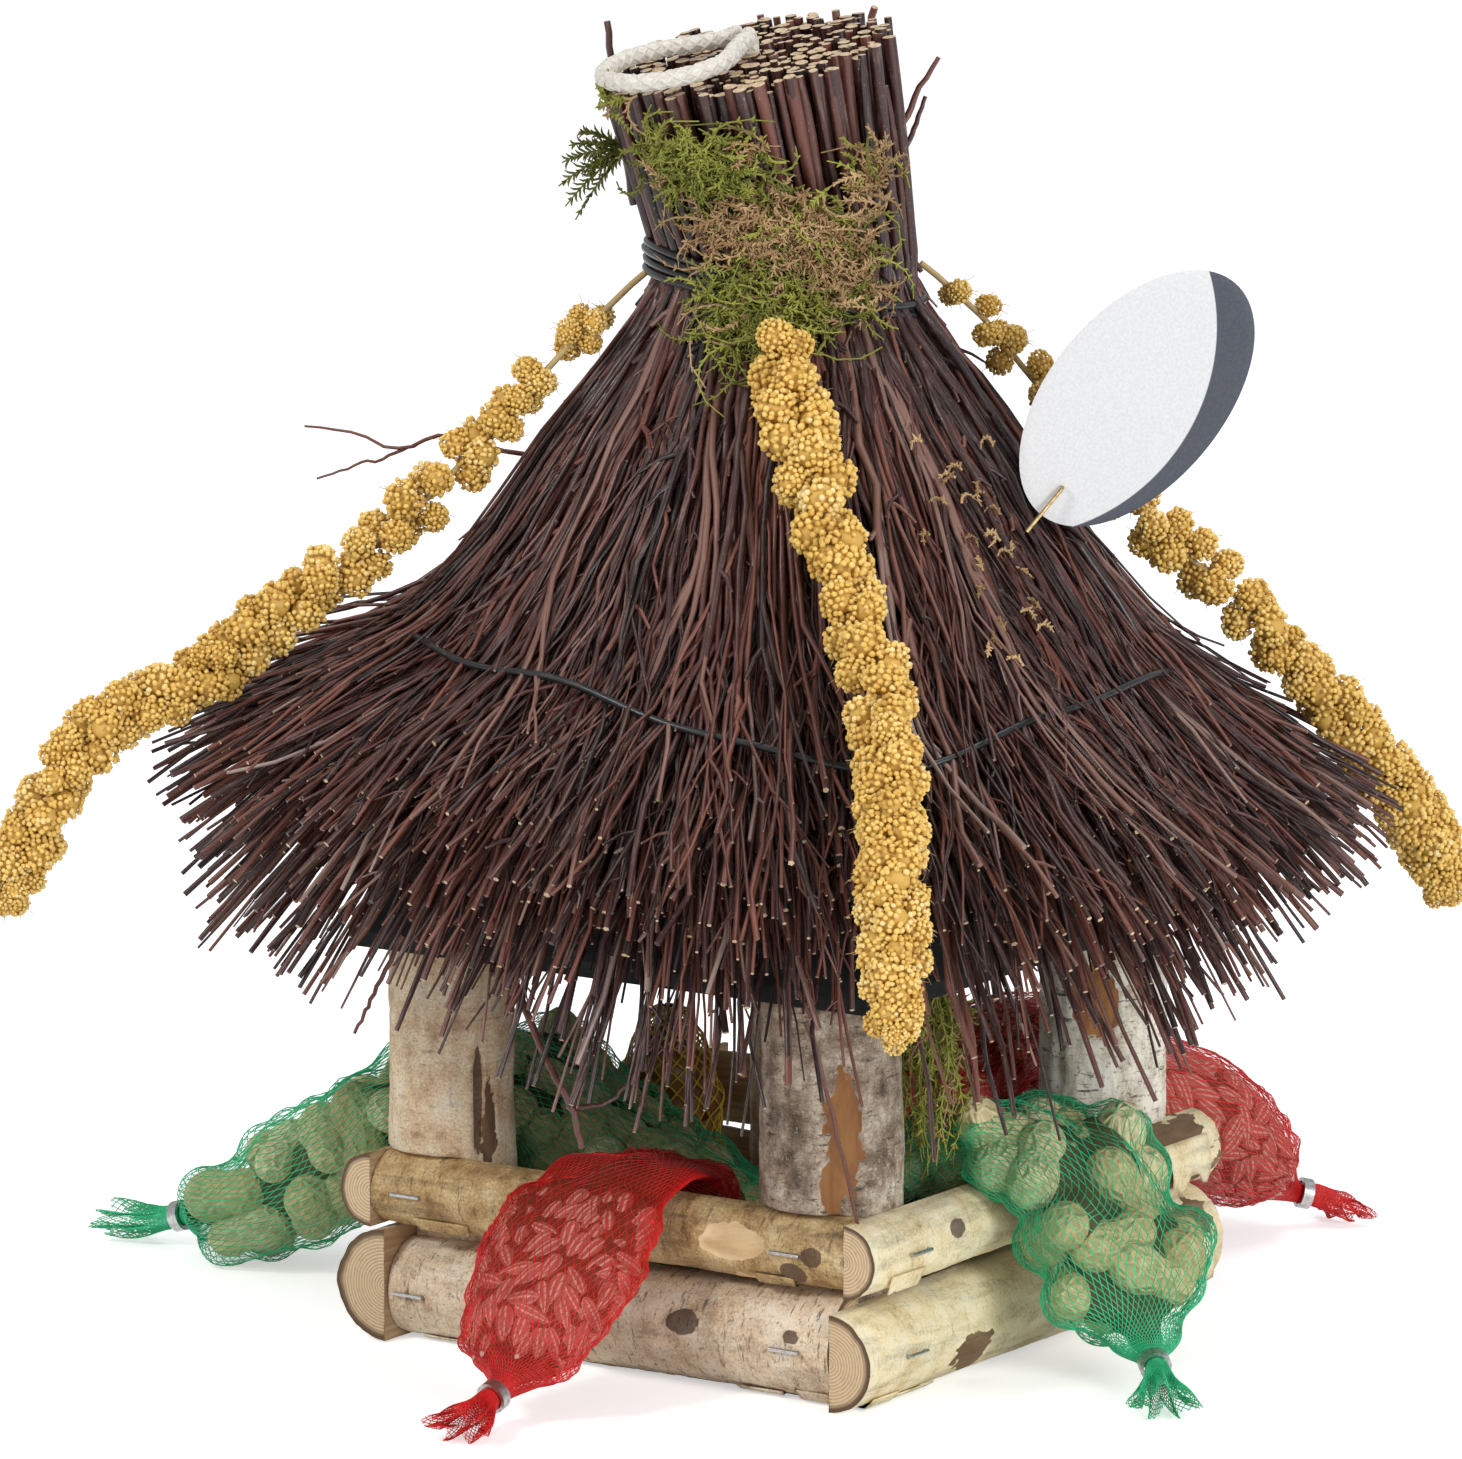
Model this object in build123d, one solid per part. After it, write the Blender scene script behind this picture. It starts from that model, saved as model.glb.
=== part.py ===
import math
import os

from build123d import *

# Driving dimensions in millimetres. Front is -Y, right is +X, up is +Z.

# Log frame: split logs below, thinner split rails on top, flat sides inward
INNER_HALF = 79.0      # centre to the flat face of a base log
LOG_BIG = 17.0         # base log radius at its thick end
LOG_SMALL = 14.5       # base log radius at its thin end
RAIL_STEP = 5.0        # the rails' flat faces stand this far outside the logs'
RAIL_RADIUS = 11.0
FLOOR_THICK = 6.0
FIT = 0.2              # clearance of wood fitted to wood

# Posts: radius, inset from the logs' flat faces in X and Y, corner signs
POST_TOP = 118.0
POSTS = {
    "near": (21.0, 15.0, 8.0, 1, -1),
    "left": (19.0, 8.0, 8.0, -1, -1),
    "right": (19.5, 10.0, 10.0, 1, 1),
    "back": (17.0, 39.0, 8.0, -1, 1),
}

# Fasteners
NAIL_RADIUS = 1.2
NAIL_BITE = 22.0       # length of nail inside the post
STAPLE_WIRE = 0.6
STAPLE_WIDTH = 9.0

# Roof board and the four panels of the hipped roof
ROOF_BOARD_HALF = 92.0
ROOF_BOARD_THICK = 5.0
PANEL_RISE = 177.0
PANEL_TOP_HALF = 16.0
PANEL_THICK = 5.0      # measured level

# Twig fans: bound at the neck, laid over the panels in layers
NECK_RADIUS = 41.0
NECK_HEIGHT = 18.0
NECK_BORE = 8.0
LAYERS = 3
TWIGS_PER_LAYER = 20   # in one fan and layer
TWIG_HALF_WIDTH = 1.5
TWIG_HALF_HEIGHT = 1.4
TWIG_START_SCALE = 0.42
# Stations of a twig: drop below the neck, clearance outside the hips for the
# lowest layer, then how far out and up the highest layer lies from there
STATIONS = [
    (-1.0, 5.0, 12.0, 0.0),
    (44.0, 6.3, 14.0, 10.0),
    (95.0, 5.0, 14.0, 21.0),
    (140.0, 9.2, 22.0, 34.0),
    (194.0, 26.0, 22.0, 59.0),
]
EAVE_DRAW_IN = 0.07    # the eave is this much nearer at the middle of a side
HIP_GAP = 8.5          # degrees beside a hip where the twigs are short
HIP_LENGTH = 0.42      # share of the last run that a short twig keeps
TIP_SCATTER = 0.18

# Crown: butt ends above the neck, leaning forward and to the left
CROWN_HEIGHT = 65.0
CROWN_LEAN = (-5.6, -12.7)
CROWN_RINGS = ((14.0, 5), (24.0, 7), (34.0, 9))
CROWN_SPLAY = 1.06
CROWN_SCATTER = 4.0

# Ties
NECK_TIE_RADIUS = 1.5
NECK_TIE_PITCH = 3.6
NECK_TIE_TURNS = 4
NECK_TIE_TURN = -20.0  # azimuth of its two ends
EAVE_TIE_RADIUS = 1.2
EAVE_TIE_SHARE = 0.65  # where it lies between the third and fourth station
CLEAR = 0.3            # clearance of pieces that lie on others

# Millet sprays: azimuth, extra reach and lift of each
SPRAYS = {
    "left": (-135.0, 31.0),
    "front": (-47.5, 0.0),
    "right": (45.0, 0.0),
    "back": (135.0, 0.0),
}
SPRAY_STEM = 1.5
SPRAY_LIFTS = (12.0, 17.0, 19.5)
SPRAY_RADII = (1.5, 5.0, 9.5, 11.0, 11.0, 10.0, 8.0, 3.5)
SPRAY_RINGS = 22

# Hanging cord
CORD_RADIUS = 2.75
CORD_SPACING = 3.1     # half the distance between its two legs
LOOP_LAY = (-0.328, -0.944)
LOOP_ROUND = 19.0      # radius of the round end
LOOP_CENTRE = 28.0     # exit to the centre of the round end
KNOT_RADIUS = 9.0
KNOT_HEIGHT = 11.0
BOARD_BORE = 7.0

# Oval tag on its wire
TAG_LONG = 88.0
TAG_SHORT = 51.0
TAG_THICK = 0.8
TAG_HOLE = 0.9
TAG_HOLE_INSET = 10.0
TAG_FACING = (0.559, -0.829, 0.0)
TAG_TWIG = 9           # index of the twig of the right fan that holds it
TAG_TWIG_SHARE = 0.53  # where along its second run
TAG_WIRE = 0.6
WIRE_REACH = (10.4, 8.0, 11.8)    # to the right, back and up to the hole
TAG_LEAN = (58.0, 17.0, 67.6)     # same directions, along the long axis

# Moss
MOSS_INNER = 43.8
MOSS_THICK = 8.5
MOSS_HEIGHT = 30.0
MOSS_SWEEP = (-116.0, 4.0)
TUFT_OFFSET = (14.0, 29.0)        # from the near post's axis
TUFT_SHAPE = ((0.0, 4.0), (12.0, 7.0), (28.0, 8.0), (43.0, 6.0), (56.0, 2.5))

# Net bags over the walls. Outer half: along the wall, out from the rails,
# height of the middle for rails as high as BAG_RAILS, half width and half depth.
BAG_RAILS = 56.2
BAG_DEPTH = 10.0       # half depth where it lies on the rail
BAG_WIDTH = 28.0       # half width there
BAG_SPLIT = 5.0        # the fold lies this far in from the rail's outer side
BAG_NECK = 3.2
OUTER_BAGS = {
    "front": (-4.0, [
        (-2, 14, 61, 30, 14), (2, 34, 41, 29, 17), (5, 50, 24, 24, 15), (7, 58, 15, 13, 8),
        (8, 64, 10, 3.2, 3.2), (8, 71, 8, 3.2, 3.2), (10, 80, 6, 7, 3), (11, 91, 5, 12, 2.5)]),
    "right": (5.0, [
        (2, 14, 61, 31, 14), (-6, 26, 42, 32, 17), (-13, 37, 24, 25, 15), (-17, 43, 15, 13, 8),
        (-21, 48, 10, 3.2, 3.2), (-26, 53, 8, 3.2, 3.2), (-38, 62, 6, 7, 3), (-51, 71, 5, 12, 2.5)]),
    "left": (19.0, [
        (21, 15, 62, 29, 16), (25, 42, 46, 30, 19), (29, 70, 30, 28, 19), (30, 90, 19, 18, 13),
        (30, 104, 11, 3.2, 3.2), (30, 111, 9, 3.2, 3.2), (30, 122, 7, 8, 3), (29, 134, 5, 12, 2.5)]),
    "back": (-12.0, [
        (-20, 15, 61, 29, 15), (-32, 38, 44, 30, 18), (-46, 64, 28, 27, 18), (-57, 80, 18, 17, 12),
        (-65, 91, 11, 3.2, 3.2), (-70, 97, 9, 3.2, 3.2), (-76, 104, 7, 8, 3), (-84, 113, 5, 12, 2.5)]),
}
INNER_BAGS = {
    "front": [(-2, -30, 58, 26, 12), (2, -38, 52, 22, 11), (4, -43, 48, 8, 4)],
    "right": [(4, -33, 55, 27, 13), (4, -47, 42, 23, 14), (4, -53, 35, 8, 5)],
    "left": [(20, -34, 56, 27, 16), (22, -60, 40, 26, 19), (24, -98, 28, 24, 20),
             (25, -112, 27, 16, 12), (25, -118, 26, 6, 4)],
    "back": [(-11, -31, 57, 25, 12), (-10, -41, 48, 22, 11), (-10, -46, 43, 8, 4)],
}
CLIP_LENGTH = 3.4
CLIP_WALL = 1.1
YELLOW_INSET = (17.0, 49.0)       # from the left and back logs' flat faces
YELLOW_SHAPE = ((0.4, 12, 10), (14, 16, 17), (38, 17, 18.5), (58, 15, 16), (70, 8, 8), (76, 3, 3))

# Derived levels and faces
RAIL_INNER = INNER_HALF + RAIL_STEP
OUTER = RAIL_INNER + RAIL_RADIUS
RAIL_Z = 2 * LOG_BIG + FIT
RAIL_TOP = RAIL_Z + 2 * RAIL_RADIUS
ROOF_TOP = POST_TOP + ROOF_BOARD_THICK
NECK_Z = ROOF_TOP + PANEL_RISE
NECK_TOP = NECK_Z + NECK_HEIGHT
PANEL_HALF = ROOF_BOARD_HALF + 1.0
CROWN_TOP = Vector(*CROWN_LEAN, NECK_TOP + CROWN_HEIGHT)
CROWN_NORMAL = Vector(*CROWN_LEAN, CROWN_HEIGHT).normalized()
UP = Vector(0, 0, 1)
WALLS = {"front": 0.0, "right": 90.0, "back": 180.0, "left": 270.0}
LOW = (Align.CENTER, Align.CENTER, Align.MIN)


def scatter(index, layer):
    """Steady spread of values from 0 to 1 that looks irregular."""
    return (0.618 * (index + 1) + 0.377 * (layer + 1) * (index % 7 + 1)) % 1.0


def turned(shape, wall):
    return Rot(0, 0, WALLS[wall]) * shape


# Log frame

def log_radius(along):
    """Radius of a base log, by distance from its middle towards the thick end."""
    return (LOG_BIG + LOG_SMALL) / 2 + (LOG_BIG - LOG_SMALL) / 2 * along / OUTER


def half_round(length, radius_at):
    """Split log along X on the ground, flat face on the XZ plane, bark to -Y."""
    ends = []
    for x in (-length / 2, length / 2):
        r = radius_at(x)
        flat = Line((x, 0, 0), (x, 0, 2 * r))
        bark = ThreePointArc((x, 0, 2 * r), (x, -r, r), (x, 0, 0))
        ends.append(Face(Wire([flat, bark])))
    return loft(ends, ruled=True)


def base_log(wall):
    butted = wall in ("front", "back")
    length = 2 * (INNER_HALF - FIT) if butted else 2 * OUTER
    return turned(Pos(0, -INNER_HALF, 0) * half_round(length, log_radius), wall)


def rail(wall):
    butted = wall in ("front", "back")
    length = 2 * (RAIL_INNER - FIT) if butted else 2 * OUTER
    body = half_round(length, lambda along: RAIL_RADIUS)
    return turned(Pos(0, -RAIL_INNER, RAIL_Z) * body, wall)


def post_axis(name):
    radius, inset_x, inset_y, sign_x, sign_y = POSTS[name]
    return sign_x * (INNER_HALF - inset_x), sign_y * (INNER_HALF - inset_y)


def around(half, low, high):
    """Space outside a square of this half width, between two levels."""
    height = high - low
    block = Box(4 * OUTER, 4 * OUTER, height, align=LOW) - Box(2 * half, 2 * half, height, align=LOW)
    return Pos(0, 0, low) * block


def post(name):
    """Round post on the floor board, rebated where the logs and rails lap it."""
    x, y = post_axis(name)
    body = Pos(x, y, FLOOR_THICK) * Cylinder(POSTS[name][0], POST_TOP - FLOOR_THICK, align=LOW)
    body -= around(INNER_HALF - FIT, 0, RAIL_Z)
    return body - around(RAIL_INNER - FIT, RAIL_Z, RAIL_TOP + FIT)


def nail(x, y, head_z, direction):
    """Nail driven along Z from its head; direction is 1 upward, -1 downward."""
    head = Cylinder(2 * NAIL_RADIUS, 1.0, align=LOW)
    shank = Cylinder(NAIL_RADIUS, NAIL_BITE + FLOOR_THICK, align=LOW)
    body = head + shank
    if direction < 0:
        body = Rot(180, 0, 0) * body
    return Pos(x, y, head_z) * body


def staple(wall, along, z, face, depth):
    """U staple lying level on the bark, its legs through the log into the post."""
    leg = Cylinder(STAPLE_WIRE, depth + STAPLE_WIRE, align=LOW)
    out = Vector(along, -face - STAPLE_WIRE, z)
    legs = [Pos(out + Vector(side * STAPLE_WIDTH / 2, 0, 0)) * Rot(-90, 0, 0) * leg for side in (-1, 1)]
    bridge = Pos(out) * Rot(0, 90, 0) * Cylinder(STAPLE_WIRE, STAPLE_WIDTH + 2 * STAPLE_WIRE)
    return turned(bridge + legs[0] + legs[1], wall)


def wall_stations():
    """Each wall with the distance along it of every post that stands at it."""
    found = []
    for wall, angle in WALLS.items():
        for name in POSTS:
            x, y = post_axis(name)
            spot = Vector(x, y, 0).rotate(Axis.Z, -angle)
            if spot.Y < -INNER_HALF / 2:
                found.append((wall, spot.X))
    return found


def frame_staples():
    made = []
    for wall, along in wall_stations():
        r = log_radius(along)
        made.append(staple(wall, along, r, INNER_HALF + r, 2 * r))
        made.append(staple(wall, along, RAIL_Z + RAIL_RADIUS, OUTER, 2 * RAIL_RADIUS))
    return made


# Roof board and panels

def wedge(wall):
    """Quarter of space towards one wall, bounded by the two hips."""
    far = 4 * OUTER
    outline = Polygon((0, 0), (-far, -far), (far, -far), align=None)
    return turned(Pos(0, -FIT, 0) * extrude(outline, 2 * NECK_TOP), wall)


def panel_half(z):
    share = (z - ROOF_TOP) / PANEL_RISE
    return PANEL_HALF + (PANEL_TOP_HALF - PANEL_HALF) * share


def hip_block(inset):
    low = Pos(0, 0, ROOF_TOP) * Rectangle(2 * (PANEL_HALF - inset), 2 * (PANEL_HALF - inset))
    high = Pos(0, 0, NECK_Z) * Rectangle(2 * (PANEL_TOP_HALF - inset), 2 * (PANEL_TOP_HALF - inset))
    return loft([low, high], ruled=True)


def roof_board():
    side = 2 * ROOF_BOARD_HALF
    board = Box(side, side, ROOF_BOARD_THICK, align=LOW)
    board -= Cylinder(BOARD_BORE, ROOF_BOARD_THICK, align=LOW)
    return Pos(0, 0, POST_TOP) * board


# Twig fans

def thatch_point(station, level):
    """Radius and height of a twig; level is 0 for the lowest layer, 1 for the highest."""
    drop, clearance, out, up = STATIONS[station]
    z = NECK_Z - drop
    return math.sqrt(2) * panel_half(z) + clearance + level * out, z + level * up


def between(first, second, share):
    return tuple(a + (b - a) * share for a, b in zip(first, second))


def twig_azimuth(index, layer):
    """Degrees from the middle of the fan."""
    pitch = 90.0 / TWIGS_PER_LAYER
    shift = 0.3 * (layer - 1) + 0.2 * (scatter(index, layer) - 0.5)
    return -45.0 + (index + 0.5) * pitch + shift


def on_azimuth(degrees, radius, z):
    angle = math.radians(degrees)
    return Vector(radius * math.cos(angle), radius * math.sin(angle), z)


def twig_frame(azimuth):
    """Sideways and upward half sizes of a twig, square to its mean slope."""
    start = Vector(*thatch_point(0, 1))
    end = Vector(*thatch_point(len(STATIONS) - 1, 1))
    slope = (end - start).normalized()
    side = on_azimuth(azimuth + 90, TWIG_HALF_WIDTH, 0)
    top = on_azimuth(azimuth, -slope.Y * TWIG_HALF_HEIGHT, slope.X * TWIG_HALF_HEIGHT)
    return side, top


def four_sided(points, scales, side, top):
    rings = []
    for p, s in zip(points, scales):
        corners = [p + side * s, p + top * s, p - side * s, p - top * s]
        rings.append(Wire.make_polygon(corners))
    return Solid.make_loft(rings, ruled=True)


def roof_twig(wall, index, layer):
    level = 1 - layer / (LAYERS - 1)
    offset = twig_azimuth(index, layer)
    azimuth = WALLS[wall] - 90 + offset
    route = [thatch_point(i, level) for i in range(len(STATIONS))]
    reach, low = route[-1]
    tip = (reach * (1 - EAVE_DRAW_IN * math.cos(math.radians(2 * offset))), low)
    short = abs(offset) > 45 - HIP_GAP
    share = HIP_LENGTH if short else 1 - TIP_SCATTER * scatter(index, layer)
    route[-1] = between(route[-2], tip, share)
    side, top = twig_frame(azimuth)
    points = [on_azimuth(azimuth, r, z) for r, z in route]
    return four_sided(points, [TWIG_START_SCALE] + [1.0] * (len(points) - 1), side, top)


def crown_height(x, y):
    """Level of the crown's sloping top above a point."""
    dx, dy = x - CROWN_TOP.X, y - CROWN_TOP.Y
    return CROWN_TOP.Z - (CROWN_NORMAL.X * dx + CROWN_NORMAL.Y * dy) / CROWN_NORMAL.Z


def crown_twig(wall, ring, index):
    radius, count = CROWN_RINGS[ring]
    offset = -45.0 + (index + 0.5) * 90.0 / count
    azimuth = WALLS[wall] - 90 + offset
    half = 0.38 * radius * math.radians(90.0 / count)
    foot = on_azimuth(azimuth, radius, NECK_TOP - NECK_HEIGHT / 4)
    tip = on_azimuth(azimuth, radius * CROWN_SPLAY, 0) + Vector(*CROWN_LEAN, 0)
    tip += UP * (crown_height(tip.X, tip.Y) - CROWN_SCATTER * scatter(index, ring) - half / 2)
    return four_sided([foot, tip], [1, 1], on_azimuth(azimuth + 90, half, 0), on_azimuth(azimuth, half, 0))


def twig_fan(wall):
    ring = Cylinder(NECK_RADIUS, NECK_HEIGHT, align=LOW) - Cylinder(NECK_BORE, NECK_HEIGHT, align=LOW)
    backing = ((Pos(0, 0, NECK_Z) * ring) & wedge(wall)).solids()[0]
    twigs = [roof_twig(wall, i, layer) for layer in range(LAYERS) for i in range(TWIGS_PER_LAYER)]
    for ring_index, (radius, count) in enumerate(CROWN_RINGS):
        twigs += [crown_twig(wall, ring_index, i) for i in range(count)]
    return backing.fuse(*twigs)


# Ties

def neck_tie():
    """One wire wound round the neck, each half turn an arc that climbs half the pitch."""
    radius = NECK_RADIUS + CLEAR + NECK_TIE_RADIUS
    start = NECK_Z + NECK_TIE_RADIUS + CLEAR
    tail = 2 * NECK_TIE_RADIUS
    edges = [Line((radius, -tail, start), (radius, 0, start))]
    for half in range(2 * NECK_TIE_TURNS):
        side = 1 if half % 2 == 0 else -1
        low = start + half * NECK_TIE_PITCH / 2
        begin = (side * radius, 0, low)
        middle = (0, side * radius, low + NECK_TIE_PITCH / 4)
        end = (-side * radius, 0, low + NECK_TIE_PITCH / 2)
        edges.append(ThreePointArc(begin, middle, end))
    top = start + NECK_TIE_TURNS * NECK_TIE_PITCH
    edges.append(Line((radius, 0, top), (radius, tail, top)))
    path = Wire(edges)
    section = Plane(origin=path @ 0, z_dir=path % 0) * Circle(NECK_TIE_RADIUS)
    points = [path @ (i / 400) for i in range(401)]
    apart = 400 // (2 * NECK_TIE_TURNS)
    gap = min((points[i] - points[j]).length for i in range(401) for j in range(i + apart, 401))
    print("neck tie, least gap to itself", round(gap - 2 * NECK_TIE_RADIUS, 2))
    return Rot(0, 0, NECK_TIE_TURN) * sweep(section, path=path)


def eave_tie():
    low, high = thatch_point(2, 1), thatch_point(3, 1)
    radius, z = between(low, high, EAVE_TIE_SHARE)
    run = Vector(high[0] - low[0], high[1] - low[1]).normalized()
    lift = TWIG_HALF_HEIGHT + EAVE_TIE_RADIUS + CLEAR
    return Pos(0, 0, z + run.X * lift) * Torus(radius - run.Y * lift, EAVE_TIE_RADIUS)


# Millet sprays

def spray_root():
    return NECK_RADIUS + 1.5 * CLEAR + 2 * NECK_TIE_RADIUS + SPRAY_STEM, NECK_TOP - 5.0


def spray_route(reach):
    """Radius and height of the spray's middle line, over the hip and down past the eave."""
    route = [spray_root()]
    for station, lift in enumerate(SPRAY_LIFTS, start=1):
        r, z = thatch_point(station, 1)
        route.append((r + 0.65 * lift, z + 0.76 * lift))
    r, z = between(thatch_point(3, 1), thatch_point(4, 1), HIP_LENGTH)
    route.append((r + 16, z + 6))
    route.append((r + 30 + 0.5 * reach, z - 14 + 0.3 * reach))
    route.append((r + 38 + 0.85 * reach, z - 36 + 0.15 * reach))
    route.append((r + 42 + reach, z - 58 + 0.2 * reach))
    return route


def rounded_rod(path, radii, rings):
    """Rod of round sections along a path, its radius read between the given ones."""
    sections = []
    for i in range(rings):
        share = i / (rings - 1)
        place = share * (len(radii) - 1)
        low = min(int(place), len(radii) - 2)
        r = radii[low] + (radii[low + 1] - radii[low]) * (place - low)
        if 0 < i < rings - 1:
            r *= 1.06 if i % 2 else 0.88
        sections.append(Plane(origin=path @ share, z_dir=path % share) * Circle(r))
    return loft(sections, ruled=True)


def millet_spray(name):
    azimuth, reach = SPRAYS[name]
    path = Spline(*[on_azimuth(azimuth, r, z) for r, z in spray_route(reach)])
    return rounded_rod(path, SPRAY_RADII, SPRAY_RINGS)


# Hanging cord

def cord(name, points, radius):
    """Cord along straight runs joined by arcs, as large as the runs leave room for."""
    radii = []
    for a, b, c in zip(points, points[1:], points[2:]):
        half_turn = math.radians((b - a).get_angle(c - b)) / 2
        radii.append(0.45 * min((b - a).length, (c - b).length) / math.tan(half_turn))
    print(name, "bend radii", [round(r, 1) for r in radii])
    path = FilletPolyline(*points, radius=radii)
    section = Plane(origin=path @ 0, z_dir=path % 0) * Circle(radius)
    return sweep(section, path=path)


def loop_axes():
    """Directions on the crown's top: along the lying loop and across it."""
    x, y = LOOP_LAY
    slope = -(CROWN_NORMAL.X * x + CROWN_NORMAL.Y * y) / CROWN_NORMAL.Z
    along = Vector(x, y, slope).normalized()
    return along, CROWN_NORMAL.cross(along)


def loop_points():
    along, across = loop_axes()
    exit_point = CROWN_TOP + CROWN_NORMAL * (CORD_RADIUS + 1.5 * CLEAR)
    corner = LOOP_ROUND / math.cos(math.radians(22.5))
    side = [(0, CORD_SPACING), (0.47 * (LOOP_CENTRE - 7.9), 0.45 * LOOP_ROUND)]
    for degrees in (112.5, 67.5, 22.5):
        angle = math.radians(degrees)
        side.append((LOOP_CENTRE + corner * math.cos(angle), corner * math.sin(angle)))
    flat = side + [(u, -w) for u, w in reversed(side)]
    return [exit_point + along * u + across * w for u, w in flat]


def cord_legs():
    """The two legs from the knot up through the neck to the crown's top."""
    along, across = loop_axes()
    level = Vector(across.X, across.Y, 0).normalized()
    legs = []
    for side in (-1, 1):
        shift = level * side * CORD_SPACING
        low = Vector(0, 0, POST_TOP - CLEAR) + shift
        bend = Vector(0, 0, NECK_Z) + shift
        top = CROWN_TOP + across * side * CORD_SPACING - CROWN_NORMAL * CLEAR
        path = FilletPolyline(low, bend, top, radius=60)
        section = Plane(origin=path @ 0, z_dir=path % 0) * Circle(CORD_RADIUS)
        legs.append(sweep(section, path=path))
    return legs


def cord_knot():
    body = Cylinder(KNOT_RADIUS, KNOT_HEIGHT, align=LOW)
    body = fillet(body.edges().filter_by(GeomType.CIRCLE), 0.4 * KNOT_HEIGHT)
    return Pos(0, 0, POST_TOP - 1.5 * CLEAR - KNOT_HEIGHT) * body


# Tag

def tag_directions():
    facing = Vector(*TAG_FACING).normalized()
    right = UP.cross(facing)
    return right, facing * -1


def tag_foot():
    """Where the wire leaves the twig that holds it."""
    azimuth = WALLS["right"] - 90 + twig_azimuth(TAG_TWIG, 0)
    r, z = between(thatch_point(1, 1), thatch_point(2, 1), TAG_TWIG_SHARE)
    side, top = twig_frame(azimuth)
    return on_azimuth(azimuth, r, z) + top + top.normalized() * (TAG_WIRE + 1.5 * CLEAR)


def tag_plane():
    """Plane of the card at its hole, X along the long axis, Z towards the viewer."""
    right, back = tag_directions()
    hole = tag_foot() + right * WIRE_REACH[0] + back * WIRE_REACH[1] + UP * WIRE_REACH[2]
    lean = (right * TAG_LEAN[0] + back * TAG_LEAN[1] + UP * TAG_LEAN[2]).normalized()
    facing = back * -1
    normal = (facing - lean * facing.dot(lean)).normalized()
    return Plane(origin=hole, x_dir=lean, z_dir=normal)


def tag():
    card = Pos(TAG_LONG / 2 - TAG_HOLE_INSET, 0) * Ellipse(TAG_LONG / 2, TAG_SHORT / 2)
    return tag_plane() * extrude(card - Circle(TAG_HOLE), TAG_THICK / 2, both=True)


def tag_wire():
    plane = tag_plane()
    hook = 4 * TAG_WIRE
    points = [tag_foot(), plane.origin + plane.z_dir * hook, plane.origin - plane.z_dir * hook]
    path = FilletPolyline(*points, radius=2 * TAG_WIRE)
    section = Plane(origin=path @ 0, z_dir=path % 0) * Circle(TAG_WIRE)
    return sweep(section, path=path)


# Moss

def moss_collar():
    section = Plane.XZ * Pos(MOSS_INNER + MOSS_THICK / 2, NECK_TOP + CLEAR + MOSS_HEIGHT / 2)
    face = section * Ellipse(MOSS_THICK / 2, MOSS_HEIGHT / 2)
    start, end = MOSS_SWEEP
    return Rot(0, 0, start) * revolve(face, Axis.Z, end - start)


def moss_tuft():
    x, y = post_axis("near")
    x, y = x + TUFT_OFFSET[0], y + TUFT_OFFSET[1]
    sections = [Pos(x, y, POST_TOP - CLEAR - drop) * Circle(r) for drop, r in TUFT_SHAPE]
    return loft(sections, ruled=True)


# Net bags

def bag_sections(rows, fold_direction, folds):
    """Oval sections of a bag, square to its middle line, the first ones upright on the rail."""
    points = [Vector(along, -OUTER - out, z) for along, out, z, width, depth in rows]
    faces = []
    for i, (along, out, z, width, depth) in enumerate(rows):
        before, after = points[max(i - 1, 0)], points[min(i + 1, len(points) - 1)]
        direction = fold_direction if i < folds else (after - before).normalized()
        across = direction.cross(UP).normalized()
        faces.append(Plane(origin=points[i], x_dir=across, z_dir=direction) * Ellipse(width, depth))
    return faces


def hung(rows):
    """Rows of a bag with their heights drawn to the real height of the rails."""
    return [(along, out, z * RAIL_TOP / BAG_RAILS, width, depth) for along, out, z, width, depth in rows]


def fold_row(along, out):
    """Row of a bag where it lies on the rail."""
    return along, out, RAIL_TOP + CLEAR + BAG_DEPTH, BAG_WIDTH, BAG_DEPTH


def bag_outer(wall):
    along, rows = OUTER_BAGS[wall]
    rows = [fold_row(along, -BAG_SPLIT + CLEAR)] + hung(rows)
    return turned(loft(bag_sections(rows, Vector(0, -1, 0), 1), ruled=True), wall)


def bag_inner(wall):
    along = OUTER_BAGS[wall][0]
    folds = [fold_row(along, -BAG_SPLIT - CLEAR), fold_row(along, -RAIL_RADIUS - 6.0)]
    rows = folds + hung(INNER_BAGS[wall])
    return turned(loft(bag_sections(rows, Vector(0, 1, 0), 2), ruled=True), wall)


def bag_clip(wall):
    """Ring clamped on the bag's gathered neck."""
    rows = hung(OUTER_BAGS[wall][1])
    ends = [Vector(row[0], -OUTER - row[1], row[2]) for row in rows if row[3] == BAG_NECK]
    bore = BAG_NECK + 1.5 * CLEAR
    ring = Cylinder(bore + CLIP_WALL, CLIP_LENGTH) - Cylinder(bore, CLIP_LENGTH)
    middle = (ends[0] + ends[-1]) / 2
    return turned(Plane(origin=middle, z_dir=(ends[-1] - ends[0]).normalized()) * ring, wall)


def yellow_bag():
    x, y = YELLOW_INSET[0] - INNER_HALF, INNER_HALF - YELLOW_INSET[1]
    sections = [Pos(x, y, FLOOR_THICK + up) * Ellipse(a, b) for up, a, b in YELLOW_SHAPE]
    return loft(sections, ruled=True)


# All nodes

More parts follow.
